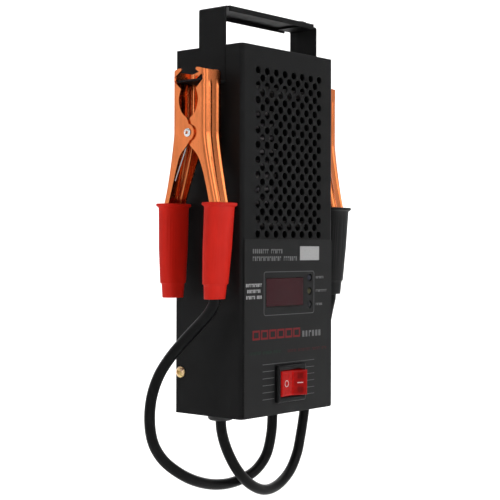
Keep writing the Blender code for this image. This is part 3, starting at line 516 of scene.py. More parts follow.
def smoothstep(t):
    t = min(1.0, max(0.0, t))
    return t * t * (3 - 2 * t)


def circle(x, z, radius, sides=24):
    """A hole's edge as a function of how far it is grown."""
    return lambda grow: arc((x, z), radius + grow, 0, 360 - 360 / sides, sides - 1)


def oblong(x0, z0, x1, z1, radius, steps=4):
    """A rectangle with rounded corners as a function of how far it is grown."""

    def loop(grow):
        r = max(radius + grow, 0.00001)
        corners = (
            (x1 - radius, z1 - radius, 0),
            (x0 + radius, z1 - radius, 90),
            (x0 + radius, z0 + radius, 180),
            (x1 - radius, z0 + radius, 270),
        )
        return [p for x, z, a in corners for p in arc((x, z), r, a, a + 90, steps)]

    return loop


def pressed_sheet(name, outline, holes, folds, place, thickness, rim, steps=2):
    """Sheet with rounded rims: outline and holes are functions of growth, and folds are pairs of
    outline points that a bend line joins. place(s, w, depth) puts a point of the flat pattern."""
    bm = bmesh.new()
    shells = []
    for depth in (0.0, thickness):
        loops = [outline(-rim)] + [hole(rim) for hole in holes]
        points, edges = [], []
        for loop in loops:
            start = len(points)
            points += loop
            edges += [(start + i, start + (i + 1) % len(loop)) for i in range(len(loop))]
        faces = delaunay_2d_cdt([Vector(p) for p in points], edges + folds, [], 1, 1e-8)[2]
        owner = [k for k, loop in enumerate(loops) for _ in loop]
        verts = [bm.verts.new(place(s, w, depth)) for s, w in points]
        for face in faces:
            owners = {owner[i] for i in face}
            if len(owners) > 1 or owners == {0}:
                bm.faces.new([verts[i] for i in face])
        shells.append((verts, loops))
    angles = [math.radians(90 * (i + 1) / steps) for i in range(steps)]
    turns = [(rim * (1 - math.sin(a)), rim * (1 - math.cos(a))) for a in angles]
    rows = turns + [(grow, thickness - depth) for grow, depth in reversed(turns)]
    (front, loops), (back, _) = shells
    start = 0
    for k, loop in enumerate(loops):
        count = len(loop)
        previous = front[start : start + count]
        for grow, depth in rows:
            ring = outline(-grow) if k == 0 else holes[k - 1](grow)
            current = [bm.verts.new(place(s, w, depth)) for s, w in ring]
            bridge(bm, previous, current)
            previous = current
        bridge(bm, previous, back[start : start + count])
        start += count
    return even(from_bmesh(name, bm, sharp=50))


def even(obj):
    """Keeps flat faces flat where they meet rounded rims."""
    weighted = obj.modifiers.new("even_shading", "WEIGHTED_NORMAL")
    weighted.keep_sharp = True
    return obj


def bridge(bm, first, second):
    for i in range(len(first)):
        j = (i + 1) % len(first)
        bm.faces.new((first[i], first[j], second[j], second[i]))


def loft(bm, rings, closed=False):
    for a, b in zip(rings, rings[1:] + (rings[:1] if closed else [])):
        bridge(bm, a, b)


def plate_into(bm, outline, y_front, y_back):
    """A thin plate that faces the front, from its outline in (x, z)."""
    front = [bm.verts.new((x, y_front, z)) for x, z in outline]
    back = [bm.verts.new((x, y_back, z)) for x, z in outline]
    bm.faces.new(front)
    bm.faces.new(back[::-1])
    bridge(bm, back, front)


def flat_front(y):
    return lambda s, w, depth: (s, y + depth, w)


def turned(name, profile, place, sides=40, sharp=35):
    """A turned piece from (radius, height) points about local Z."""
    bm = bmesh.new()
    rings = []
    for radius, height in profile:
        if radius < 1e-7:
            rings.append([bm.verts.new(place @ Vector((0, 0, height)))])
            continue
        spots = arc((0, 0), radius, 0, 360 - 360 / sides, sides - 1)
        rings.append([bm.verts.new(place @ Vector((x, y, height))) for x, y in spots])
    for a, b in zip(rings, rings[1:]):
        if len(a) == len(b):
            bridge(bm, a, b)
        else:
            tip, ring = (a[0], b) if len(a) == 1 else (b[0], a)
            for i in range(len(ring)):
                bm.faces.new((tip, ring[i], ring[(i + 1) % len(ring)]))
    if profile[0][0] > 1e-7 and len(rings[0]) == len(rings[-1]):
        bridge(bm, rings[-1], rings[0])
    return from_bmesh(name, bm, sharp=sharp)


def along(point, axis, sign=1):
    """A place whose local Z points along an axis."""
    turn = Vector(axis) * sign
    return Matrix.Translation(point) @ turn.to_track_quat("Z", "Y").to_matrix().to_4x4()


def tube_mesh(name, path, radius, sides):
    """A closed tube along the path."""
    bm = bmesh.new()
    rings = []
    side = Vector((0, 1, 0))
    for i, point in enumerate(path):
        ahead = path[min(i + 1, len(path) - 1)] - path[max(i - 1, 0)]
        ahead.normalize()
        side = (side - ahead * side.dot(ahead)).normalized()
        up = ahead.cross(side)
        ring = []
        for k in range(sides):
            a = 2 * math.pi * k / sides
            ring.append(bm.verts.new(point + (side * math.cos(a) + up * math.sin(a)) * radius))
        rings.append(ring)
    loft(bm, rings)
    bm.faces.new(rings[0])
    bm.faces.new(rings[-1])
    return from_bmesh(name, bm, sharp=50)


# ---------------------------------------------------------------- stage
def make_stage():
    camera_data = bpy.data.cameras.new("camera")
    camera = link("camera", camera_data)
    camera_data.lens = 89.23
    camera_data.sensor_width = 36
    camera_data.clip_start = 0.01
    right = Vector((0.648, -0.761, 0.003)).normalized()
    ahead = Vector((0.7613, 0.6484, -0.0024))
    ahead = (ahead - right * ahead.dot(right)).normalized()
    up = right.cross(ahead)
    turn = Matrix((right, up, -ahead)).transposed().to_4x4()
    camera.matrix_world = Matrix.Translation((-0.6699, -0.5619, -0.1617)) @ turn
    bpy.context.scene.camera = camera
    floor_z = CAD_BOX[0][2] - 0.12
    flat, cove = 2.2, 1.2  # radii of the floor and of its curve up into the wall
    profile = [(0.0, 0.0), (flat, 0.0)]
    profile += [(flat + x, cove + z) for x, z in arc((0, 0), cove, -81, 0, 9)]
    profile += [(flat + cove, 4.5)]
    floor = turned("pale_floor", profile, Matrix.Translation((0, 0, floor_z)), 96)
    look = Look("pale_floor", (0.92, 0.92, 0.92), 0.9, Specular_IOR_Level=0.1)
    tone = look.mixed(look.grain(30, 2.0), (0.90, 0.90, 0.90), (0.93, 0.93, 0.93))
    look.put(look.shader, {"Base Color": tone})
    look.put(look.shader, {"Emission Color": (1, 1, 1), "Emission Strength": 0.07})
    floor.data.materials.append(look.material)
    for name, place, target, width, height, power in (
        ("key_softbox", (0.15, -1.45, 0.60), (0, 0, -0.15), 1.0, 1.0, 6.4),
        ("fill_softbox", (-1.5, -0.9, 0.25), (0, 0, -0.15), 0.7, 1.0, 3.0),
        ("top_softbox", (0.0, 0.2, 1.5), (0, 0, -0.15), 1.0, 1.0, 5.5),
        ("left_card", (-1.7, 1.45, 0.0), (0, 0, -0.12), 1.1, 1.1, 1.8),
        ("backdrop_light", (1.0, 0.9, 1.8), (2.4, 2.1, -0.4), 1.8, 1.8, 70),
    ):
        light = bpy.data.lights.new(name, "AREA")
        light.shape = "RECTANGLE"
        light.size, light.size_y, light.energy = width, height, power
        lamp = link(name, light)
        lamp.location = place
        aim = Vector(target) - Vector(place)
        lamp.rotation_euler = aim.to_track_quat("-Z", "Y").to_euler()
    world = bpy.data.worlds.new("soft_studio")
    bpy.context.scene.world = world
    world.use_nodes = True
    background = world.node_tree.nodes["Background"]
    background.inputs["Color"].default_value = (1, 1, 1, 1)
    background.inputs["Strength"].default_value = 0.10
    bpy.context.scene.view_settings.view_transform = "Standard"


# ---------------------------------------------------------------- cords
CORD_DIAMETER = 0.0075
RED_ROUTE = [
    (-0.0640, -0.0159, -0.1905), (-0.0640, -0.0153, -0.1990), (-0.0648, -0.0118, -0.2050),
    (-0.0660, -0.0045, -0.2125), (-0.0695, 0.0058, -0.2235), (-0.0735, 0.0155, -0.2355),
    (-0.0775, 0.0226, -0.2485), (-0.0808, 0.0262, -0.2640), (-0.0815, 0.0268, -0.2810),
    (-0.0790, 0.0258, -0.2940), (-0.0722, 0.0237, -0.3052), (-0.0620, 0.0200, -0.3143),
    (-0.0490, 0.0167, -0.3215), (-0.0302, 0.0150, -0.3268), (-0.0102, 0.0138, -0.3276),
    (0.0106, 0.0124, -0.3225), (0.0215, 0.0110, -0.3125), (0.0262, 0.0103, -0.2985),
    (0.0282, 0.0106, -0.2850), (0.0283, 0.0106, -0.2750), (0.0283, 0.0106, -0.2640),
]
BLACK_ROUTE = [
    (0.0640, -0.0159, -0.1905), (0.0640, -0.0153, -0.1990), (0.0646, -0.0130, -0.2060),
    (0.0660, -0.0080, -0.2215), (0.0672, 0.0000, -0.2400), (0.0665, 0.0060, -0.2590),
    (0.0645, 0.0082, -0.2750), (0.0622, 0.0084, -0.2880), (0.0578, 0.0080, -0.3032),
    (0.0535, 0.0075, -0.3140), (0.0440, 0.0068, -0.3262), (0.0285, 0.0058, -0.3343),
    (0.0105, 0.0040, -0.3350), (-0.0068, 0.0035, -0.3275), (-0.0187, 0.0050, -0.3155),
    (-0.0250, 0.0086, -0.3010), (-0.0278, 0.0105, -0.2880), (-0.0283, 0.0106, -0.2770),
    (-0.0283, 0.0106, -0.2640),
]


def make_cords():
    for colour_name, route in (("red", RED_ROUTE), ("black", BLACK_ROUTE)):
        path = [Vector(route[0]), *through(route[1:], 6)]
        path = path[::-1]  # it leaves the case at its bushing
        cord = tube_mesh(f"{colour_name}_test_lead", path, CORD_DIAMETER / 2, 24)
        settle(cord, "cord", f"{colour_name}_cord", [f"{colour_name}_cord"], body="blend")
        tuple(path[8])
        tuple(path[-2])
        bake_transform(cord)
        length = sum((b - a).length for a, b in zip(path, path[1:]))
        tuple(path[0])
        [tuple(p) for p in path]


def make_bushings():
    outer, drop, bore = 0.009, 0.0053, CORD_DIAMETER / 2 + 0.0002
    profile = [
        (0.00595, 0.0030), (0.00625, -0.0003), (outer - 0.0006, -0.0003), (outer, -0.0009),
        (outer, -drop + 0.0016), (outer - 0.0005, -drop + 0.0006), (outer - 0.0016, -drop),
        (bore + 0.0012, -drop), (bore + 0.0004, -drop + 0.0003), (bore, -drop + 0.001),
        (bore, 0.0030),
    ]
    for node in ("red_cord_bushing", "black_cord_bushing"):
        at = middle(node)
        place = Matrix.Translation((at.x, at.y, BOTTOM))
        bushing = turned(f"{node}_turned", profile, place, 48)
        settle(bushing, "rubber", node, [node])


# ---------------------------------------------------------------- case
def vent_centres():
    for row in range(VENT_ROWS):
        count = VENT_COLUMNS - row % 2
        for column in range(count):
            yield (column - (count - 1) / 2) * VENT_PITCH_X, VENT_TOP - row * VENT_PITCH_Z


def lamp_circles():
    return [circle(middle(n).x, middle(n).z, LAMP_RADIUS + GAP, 24) for n in LAMPS]


def openings():
    """The holes that the cover and the label share: lamps, window and switch."""
    low, high = WINDOW_LOW, WINDOW_HIGH
    window = oblong(low.x - GAP, low.z - GAP, high.x + GAP, high.z + GAP, 0.0004, 2)
    x, z = OPENING_X + GAP, OPENING_Z + GAP
    return [*lamp_circles(), window, oblong(-x, SWITCH_Z - z, x, SWITCH_Z + z, 0.0004, 2)]


def make_case():
    flat = RIGHT - CASE_BEND
    bend = CASE_BEND * math.pi / 2
    side = BACK - FRONT - CASE_BEND
    folds_at = [flat + bend * i / 5 for i in range(6)]
    lines = [-s for s in reversed(folds_at)] + folds_at
    ends = flat + bend + side

    def place(s, w, depth):
        sign, past = math.copysign(1, s), abs(s) - flat
        if past <= 0:
            return s, FRONT + depth, w
        angle = min(past / CASE_BEND, math.pi / 2)
        reach = CASE_BEND - depth
        run = max(0.0, past - bend)
        return (
            sign * (flat + reach * math.sin(angle)),
            FRONT + CASE_BEND - reach * math.cos(angle) + run,
            w,
        )

    def outline(grow):
        across = [-ends - grow, *lines, ends + grow]
        low, high = BOTTOM - grow, TOP + grow
        return [(s, low) for s in across] + [(s, high) for s in reversed(across)]

    count = len(lines) + 2
    folds = [(i, 2 * count - 1 - i) for i in range(1, count - 1)]
    holes = [circle(x, z, sizes().vent / 2, 24) for x, z in vent_centres()]
    holes += openings()
    rim = sizes().vent_rim
    cover = pressed_sheet("cover_with_vents", outline, holes, folds, place, SHEET, rim, 3)
    settle(cover, "case paint", "front_cover", ["front_cover"])
    carry("case paint", "back_pan", edge=0.0003)


def carry(finish_name, *nodes, edge=0.0002):
    """CAD nodes whose shape is right keep it, with welded, rounded edges and a full finish."""
    for node in nodes:
        obj = frame["nodes"][node]
        obj.data.materials.clear()
        obj.data.materials.append(material_of(finish_name))
        obj.data.shade_smooth()
        weld = obj.modifiers.new("welded", "WELD")
        weld.merge_threshold = 0.00002
        if edge:
            soften(obj, edge)


def cross_recess(name, place, reach, depth):
    """A cutter for a cross-head recess, tapering inwards."""
    top_z, slot = 0.002, 0.00055  # where it starts and half the slot's width
    bm = bmesh.new()
    for half_x, half_y in ((slot, reach), (reach, slot)):
        top, low = [], []
        for sx, sy in ((-1, -1), (1, -1), (1, 1), (-1, 1)):
            x, y = sx * half_x, sy * half_y
            top.append(bm.verts.new(place @ Vector((x, y, top_z))))
            low.append(bm.verts.new(place @ Vector((x * 0.45, y * 0.6, top_z - depth))))
        bm.faces.new(top)
        bm.faces.new(low[::-1])
        bridge(bm, top, low)
    return from_bmesh(name, bm)


def cut(obj, cutter):
    change = obj.modifiers.new("cut", "BOOLEAN")
    change.operation, change.object, change.solver = "DIFFERENCE", cutter, "EXACT"
    change.use_self = True
    bpy.context.view_layer.update()
    shape = bpy.data.meshes.new_from_object(
        obj.evaluated_get(bpy.context.evaluated_depsgraph_get())
    )
    obj.modifiers.clear()
    obj.data = shape
    bpy.data.objects.remove(cutter)
    shape.shade_smooth()
    shape.set_sharp_from_angle(angle=math.radians(35))
    return obj


def make_case_screws():
    head = 0.004
    dome = [(0.0, 0.0026), (0.0008, 0.00258), (0.0017, 0.0024), (0.0026, 0.0020),
            (0.0033, 0.0014), (0.0038, 0.0008), (head, 0.0004), (head, 0.0),
            (0.0019, 0.0), (0.0019, -0.0085), (0.0, -0.0105)]
    slot_turn = math.radians(28)
    for side, sign in (("left", -1), ("right", 1)):
        low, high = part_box(f"{side}_case_screw")
        at = (sign * (RIGHT + GAP), (low.y + high.y) / 2, (low.z + high.z) / 2)
        place = along(at, (sign, 0, 0)) @ Matrix.Rotation(slot_turn, 4, "Z")
        screw = turned(f"{side}_cross_head_screw", dome, place, 40)
        sunk = place @ Matrix.Translation((0, 0, 0.001))
        cut(screw, cross_recess("recess", sunk, 0.0020, 0.0020))
        settle(screw, "yellow zinc", f"{side}_case_screw", [f"{side}_case_screw"])


# ---------------------------------------------------------------- handle
STRAP_IN = RIGHT + GAP
STRAP = 0.0012
STRAP_HALF = 0.012
TAB_REACH = 0.0215
LUG_DROP = 0.066
LUG_REAR = BACK - 0.002
BAR_HALF = 0.0153
ROLL = 0.0006
BAR_FLANGE = 0.005


def rolled_edge(w):
    side = math.copysign(1, w)
    flat = BAR_HALF - STRAP - ROLL
    past = abs(w) - flat
    if past <= 0:
        return w, 0.0
    angle = min(past / ROLL, math.pi / 2)
    drop = ROLL * (1 - math.cos(angle)) + max(0.0, past - ROLL * math.pi / 2)
    return side * (flat + ROLL * math.sin(angle)), drop


def make_strap(name, node, sign, under, ends):
    """A strap with its tab and lug, and with the carrying bar where the line has several ends."""
    tab_under = TAB_TOP - STRAP
    turn, radius = 0.0015, 0.0018  # inside radii of the tab's bend and the top corner
    reach = STRAP_IN + STRAP + TAB_REACH
    line = [(reach, tab_under), (STRAP_IN + 0.004, tab_under)]
    line += arc((STRAP_IN + turn, tab_under + turn), turn, 270, 180, 4)
    tab_rows = len(line) - 1
    line += [(STRAP_IN, TAB_TOP + 0.010), (STRAP_IN, TOP)]
    top_row = len(line) - 1
    line += [(STRAP_IN, TOP + 0.004)]
    line += arc((STRAP_IN - radius, under - radius), radius, 0, 90, 8)
    line = [(sign * x, z) for x, z in line] + [(x, under) for x in ends]
    flat = BAR_HALF - STRAP - ROLL
    over = flat + ROLL * math.pi / 2
    edges = [flat, *(flat + (over - flat) * i / 4 for i in range(1, 5))]
    edges.append(over + BAR_FLANGE - STRAP - ROLL)
    lug_front = STRAP_HALF + 0.001
    columns = {-w for w in edges} | set(edges) | {-STRAP_HALF, STRAP_HALF, lug_front, LUG_REAR}
    columns = sorted(columns)
    bar_row = len(line) - len(ends) if len(ends) > 1 else len(line)
    bm = bmesh.new()
    points = {}

    def place(s, w):
        x, z = line[s]
        if s >= bar_row:
            y, drop = rolled_edge(w)
            return x, y, z - drop
        if s <= tab_rows and w > STRAP_HALF:
            share_of_lug = s / tab_rows
            lug_low, lug_high = TOP - LUG_DROP, TAB_TOP - STRAP
            return sign * STRAP_IN, w, lug_low + (lug_high - lug_low) * share_of_lug
        return x, w, z

    def kept(s, w):
        if s > bar_row:
            return abs(w) < edges[-1]
        if s < tab_rows:
            return -STRAP_HALF < w < STRAP_HALF or lug_front < w < LUG_REAR
        if s < top_row:
            return -STRAP_HALF < w < LUG_REAR
        return -STRAP_HALF < w < STRAP_HALF

    for s in range(len(line) - 1):
        for w0, w1 in zip(columns, columns[1:]):
            if kept(s + 0.5, (w0 + w1) / 2):
                quad = []
                for key in ((s, w0), (s + 1, w0), (s + 1, w1), (s, w1)):
                    if key not in points:
                        points[key] = bm.verts.new(place(*key))
                    quad.append(points[key])
                bm.faces.new(quad if sign < 0 else quad[::-1])
    corners = [points[top_row, LUG_REAR], points[0, LUG_REAR]]
    corners += [points[0, w] for w in (-STRAP_HALF, STRAP_HALF)]
    for corner, radius_of in zip(corners, (0.003, 0.003, 0.0015, 0.0015)):
        bmesh.ops.bevel(
            bm, geom=[corner], offset=radius_of, segments=4, affect="VERTICES", profile=0.5
        )
    obj = from_bmesh(name, bm, closed=False, sharp=60)
    thicken(obj, STRAP)
    soften(obj, sizes().edge)
    return settle(obj, "handle paint", node, [node])


def make_handle():
    start = LEFT + 0.0025
    bar = (start, start + 0.01, RIGHT - 0.006)
    make_strap("left_strap_and_bar", "left_handle_strap", -1, 0.0, bar)
    make_strap("right_strap", "right_handle_strap", 1, -STRAP - GAP, (RIGHT - 0.016,))
    head = [(0.0, 0.0009), (0.0010, 0.00086), (0.0019, 0.0007), (0.0027, 0.00042),
            (0.0034, 0.00012), (0.0038, 0.0), (0.002, 0.0)]
    for node in [n for n in frame["nodes"] if "handle_rivet" in n or "bar_rivet" in n]:
        low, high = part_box(node)
        at = (low + high) / 2
        if "bar" in node:
            place, grip = Matrix.Translation((at.x, at.y, STRAP + GAP)), 2 * STRAP + 3 * GAP
        else:
            sign = math.copysign(1, at.x)
            place = along((sign * (STRAP_IN + STRAP + GAP), at.y, at.z), (sign, 0, 0))
            grip = STRAP + SHEET + 3 * GAP
        profile = head + [(r, -grip - h) for r, h in reversed(head)]
        rivet = turned(f"{node}_domed", profile, place, 32)
        settle(rivet, "handle paint", node, [node])


# ---------------------------------------------------------------- front panel
def text_line(x0, x1, z, height, words, seed):
    """A line of blank type: short blocks grouped like words, with no letters in it."""
    marks = []
    space = 1.1  # between words, in letters
    step = (x1 - x0) / (sum(words) + (len(words) - 1) * space)
    x = x0
    for number, letters in enumerate(words):
        for letter in range(letters):
            wobble = noise.noise(Vector((letter * 1.7 + seed, number * 3.1, seed * 0.37)))
            width = step * (0.66 + 0.16 * wobble)
            if wobble > 0.05:
                stem = x + width * 0.36
                marks.append((x, z - height / 2, stem, z + height / 2))
                marks.append((stem, z + height * 0.18, x + width, z + height / 2))
            else:
                marks.append((x, z - height / 2, x + width, z + height / 2))
            x += step
        x += step * space
    return marks


def printed(name, marks, finish_name):
    bm = bmesh.new()
    for x0, z0, x1, z1 in marks:
        outline = ((x0, z0), (x1, z0), (x1, z1), (x0, z1))
        plate_into(bm, outline, LABEL_LOW.y - PRINT_OUT, LABEL_LOW.y + PRINT_IN)
    settle(from_bmesh(name, bm), finish_name, "front_label")


def legend(name, finish_name, *rows):
    """Lines of blank type. A row: from, to, height above the case's bottom, type size, words, seed."""
    marks = []
    for x0, x1, above, height, words, seed in rows:
        marks += text_line(x0, x1, BOTTOM + above, height, words, seed)
    printed(name, marks, finish_name)


def make_front_panel():
    low, high, base = LABEL_LOW, LABEL_HIGH, BOTTOM
    label = pressed_sheet(
        "printed_label",
        oblong(low.x, low.z, high.x, high.z, 0.0012, 4),
        openings(), [], flat_front(low.y), high.y - low.y, 0.00008, 1,
    )
    settle(label, "label", "front_label", ["front_label"])
    legend(
        "heading_lines", "heading print",
        (-0.0396, -0.0075, 0.1118, 0.0030, (8, 6), 1),
        (-0.0396, 0.0086, 0.1068, 0.0030, (14, 7), 2),
    )
    legend(
        "left_legend", "light print",
        (-0.0465, -0.0298, 0.0890, 0.0022, (11,), 5),
        (-0.0452, -0.0312, 0.0850, 0.0022, (10,), 6),
        (-0.0462, -0.0298, 0.0809, 0.0022, (7, 4), 7),
    )
    legend(
        "right_legend", "heading print",
        (0.0295, 0.0388, middle(LAMPS[0]).z - base, 0.0017, (7,), 9),
        (0.0295, 0.0425, middle(LAMPS[1]).z - base, 0.0017, (10,), 10),
        (0.0295, 0.0374, middle(LAMPS[2]).z - base, 0.0017, (6,), 11),
        (0.0142, 0.0364, 0.0540, 0.0042, (6,), 15),
    )
    plate = pressed_sheet(
        "type_plate", oblong(0.0113, base + 0.1055, 0.0332, base + 0.1152, 0.0003, 2), [], [],
        flat_front(low.y - 0.00006), 0.00008, 0.00002, 1,
    )
    settle(plate, "light print", "front_label")
    gauge = []
    start, pitch, width, line = -0.0396, 0.00872, 0.0076, 0.00125
    z0, z1 = base + 0.0522, base + 0.0586
    for number in range(6):
        x0 = start + number * pitch
        x1 = x0 + width
        gauge += [(x0, z0, x1, z0 + line), (x0, z1 - line, x1, z1)]
        gauge += [(x0, z0 + line, x0 + line, z1 - line), (x1 - line, z0 + line, x1, z1 - line)]
    printed("gauge_mark", gauge, "red print")
    green_row = (-0.0428, -0.0091, 0.0433, 0.0020, (9, 7, 6), 21)
    red_row = (-0.0021, 0.0425, 0.0430, 0.0020, (7, 10, 7, 4), 27)
    legend("green_range_line", "dim green print", green_row)
    legend("red_range_line", "dim red print", red_row)
    lines = []
    left, right, half = -0.0290, 0.0280, 0.00022
    switch_left, switch_right = -0.0166, 0.0173  # the lower lines stop beside the switch
    for number, height in enumerate((0.0352, 0.0305, 0.0257, 0.0210, 0.0162, 0.0115)):
        z0, z1 = base + height - half, base + height + half
        if number == 0:
            lines.append((left, z0, right, z1))
        else:
            lines += [(left, z0, switch_left, z1), (switch_right, z0, right, z1)]
    printed("switch_scale_lines", lines, "dim print")
    frame_edge = oblong(-0.0280, base + 0.0681, 0.0276, base + 0.0980, 0.0020, 6)
    bm = bmesh.new()
    out, in_, inset = low.y - PRINT_OUT, low.y + PRINT_IN, -0.0005
    rings = [
        [bm.verts.new((x, depth, z)) for x, z in frame_edge(grow)]
        for grow, depth in ((0, out), (inset, out), (inset, in_), (0, in_))
    ]
    loft(bm, rings, closed=True)
    settle(from_bmesh("display_outline", bm), "dim print", "front_label")


def make_display():
    low, high = WINDOW_LOW, WINDOW_HIGH
    window = pressed_sheet(
        "smoked_window", oblong(low.x, low.z, high.x, high.z, 0.0005, 3), [], [],
        flat_front(low.y), high.y - low.y, 0.0002, 2,
    )
    settle(window, "window", "display_window", ["display_window"])
    carry("digit block", "display_digits")
    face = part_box("display_digits")[0].y
    bm = bmesh.new()
    wide, tall, bar, pitch = 0.0070, 0.0132, 0.0011, 0.0122
    lean, lift, shorter = 0.0010, 0.00012, 0.0009
    for number in range(3):
        x0, z0 = middle("display_window").x - 0.0168 + number * pitch, DISPLAY_Z - tall / 2
        spots = [
            (0.0, 0.0, 1.0, 0.0), (0.0, 0.5, 1.0, 0.5), (0.0, 1.0, 1.0, 1.0),
            (0.0, 0.0, 0.0, 0.5), (0.0, 0.5, 0.0, 1.0), (1.0, 0.0, 1.0, 0.5), (1.0, 0.5, 1.0, 1.0),
        ]
        for u0, v0, u1, v1 in spots:
            a = Vector((x0 + u0 * wide + lean * v0, z0 + v0 * tall))
            b = Vector((x0 + u1 * wide + lean * v1, z0 + v1 * tall))
            run = (b - a).normalized()
            a, b = a + run * shorter, b - run * shorter
            along_it, across_it = run * bar / 2, Vector((-run.y, run.x)) * bar / 2
            six = (a, a + along_it + across_it, b - along_it + across_it, b,
                   b - along_it - across_it, a + along_it - across_it)
            plate_into(bm, six, face - lift, face + PRINT_IN)
        dot = arc((x0 + wide + 0.0016, z0), 0.0007, 0, 337.5, 15)
        plate_into(bm, dot, face - lift, face + PRINT_IN)
    settle(from_bmesh("digit_segments", bm), "segments", "display_digits")
    for node, finish_name in zip(LAMPS, ("blue lens", "amber lens", "dark lens")):
        at = middle(node)
        front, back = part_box(node)[0].y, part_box(node)[1].y
        r = LAMP_RADIUS
        dome = [(0.0, 0.0), (0.0007, -0.00006), (0.0013, -0.0002), (0.0018, -0.0005),
                (0.00215, -0.0009), (r, -0.0014), (r, front - back), (0.0, front - back)]
        lens = turned(f"{node}_lens", dome, along((at.x, front, at.z), (0, -1, 0)), 32)
        settle(lens, finish_name, node, [node])


# ---------------------------------------------------------------- switch
def make_switch():
    low, high = HOUSING_LOW, HOUSING_HIGH
    x, z = high.x, (high.z - low.z) / 2
    front, bezel_back = low.y, low.y + 0.0025
    pocket_x, pocket_z = 0.0125, 0.0090
    body_x, body_z = OPENING_X, OPENING_Z
    rows = [  # half width, half height, depth, corner
        (body_x, body_z, high.y, 0.0008),
        (body_x, body_z, bezel_back, 0.0008),
        (x, z, bezel_back, 0.0012),
        (x, z, front + 0.0012, 0.0012),
        (x - 0.0002, z - 0.0002, front + 0.0006, 0.0012),
        (x - 0.0006, z - 0.0006, front + 0.0002, 0.0011),
        (x - 0.0012, z - 0.0012, front, 0.0010),
        (pocket_x + 0.0010, pocket_z + 0.0010, front, 0.0008),
        (pocket_x + 0.0003, pocket_z + 0.0003, front + 0.0003, 0.0006),
        (pocket_x, pocket_z, front + 0.0009, 0.0005),
        (pocket_x, pocket_z, front + 0.0110, 0.0005),
    ]
    bm = bmesh.new()
    rings = []
    for half_x, half_z, y, r in rows:
        loop = oblong(-half_x, SWITCH_Z - half_z, half_x, SWITCH_Z + half_z, r, 5)(0)
        rings.append([bm.verts.new((px, y, pz)) for px, pz in loop])
    loft(bm, rings)
    bm.faces.new(rings[0])
    bm.faces.new(rings[-1])
    housing = from_bmesh("switch_bezel_and_body", bm, sharp=50)
    settle(housing, "switch", "switch_housing", ["switch_housing"])
    make_rocker(front + 0.0020)
    carry("tinned brass", "switch_spade_1", "switch_spade_2", "switch_spade_3", edge=0.0001)


def make_rocker(axis_y):
    """A two-winged rocker with dished faces, turned to its rest position."""
    half, deep, rest = 0.0118, 0.00865, math.radians(-10)
    rim_x, rim_z, rounding = 0.0010, 0.0009, 0.0006  # widths at the ends and sides, and its drop
    ridge, ridge_width = 0.0004, 0.0008
    axis = Matrix.Translation((0, axis_y, SWITCH_Z)) @ Matrix.Rotation(rest, 4, "Z")

    def dish(x):
        return -0.0021 - 0.0026 * (abs(x) / half) ** 1.25

    bm = bmesh.new()
    across = [-half + 2 * half * i / 24 for i in range(25)]
    level = deep - 2 * rim_z
    lower = [-deep, -deep + rim_z / 3, -deep + rim_z]
    up = lower + [-level + 2 * level * i / 8 for i in range(9)] + [-z for z in reversed(lower)]
    grid = []
    for z in up:
        edge_z = max(0.0, (abs(z) - (deep - rim_z)) / rim_z)
        row = []
        for x in across:
            edge_x = max(0.0, (abs(x) - (half - rim_x)) / rim_x)
            y = dish(x) + ridge * math.exp(-((x / ridge_width) ** 2))
            y += rounding * max(edge_z, edge_x) ** 2
            row.append(bm.verts.new(axis @ Vector((x, y, z))))
        grid.append(row)
    for a, b in zip(grid, grid[1:]):
        for i in range(len(a) - 1):
            bm.faces.new((a[i], a[i + 1], b[i + 1], b[i]))
    rim = grid[0] + [row[-1] for row in grid[1:]]
    rim += grid[-1][-2::-1] + [row[0] for row in grid[-2:0:-1]]
    inverse = axis.inverted()
    floor_ring = []
    for v in rim:
        p = inverse @ v.co
        side = max(0.0, abs(p.x) - 0.004)
        under = Vector((p.x * 0.93, 0.0066 - 0.0056 * side / half, p.z))
        floor_ring.append(bm.verts.new(axis @ under))
    bridge(bm, rim, floor_ring)
    bm.faces.new(floor_ring)
    rocker = from_bmesh("tinted_rocker", bm, sharp=40)
    settle(rocker, "rocker", "rocker", ["rocker"])
    bm = bmesh.new()
    lift, sunk = 0.00008, 0.00012  # the marks stand this far off and reach this far in
    centre, ring_out, ring_in = -0.0062, 0.0023, 0.00185

    def oval(radius):
        return [(centre + 0.95 * px, pz) for px, pz in arc((0, 0), radius, 0, 350, 35)]

    def mark(px, pz, depth):
        return bm.verts.new(axis @ Vector((px, dish(px) + depth, pz)))

    outer, inner = oval(ring_out), oval(ring_in)
    rings = [
        [mark(px, pz, depth) for px, pz in loop]
        for loop, depth in ((outer, -lift), (inner, -lift), (inner, sunk), (outer, sunk))
    ]
    loft(bm, rings, closed=True)
    spots = [0.0040 + 0.0044 * i / 6 for i in range(7)]
    half_dash = 0.0003
    rows = [
        [mark(px, pz, depth) for px in spots]
        for pz, depth in (
            (-half_dash, -lift), (half_dash, -lift), (half_dash, sunk), (-half_dash, sunk),
        )
    ]
    for a, b in zip(rows, rows[1:] + rows[:1]):
        for i in range(len(a) - 1):
            bm.faces.new((a[i], a[i + 1], b[i + 1], b[i]))
    for end in (0, -1):
        bm.faces.new([row[end] for row in rows])
    settle(from_bmesh("rocker_marks", bm), "mark print", "rocker")


# ---------------------------------------------------------------- clips
GRIP_TOP, GRIP_LENGTH, CLIP_SHEET, CLIP_BEND = -0.046, 0.0635, 0.0011, 0.0035
CHANNEL_END = GRIP_TOP - 0.045
JAW_TOP = 0.0428


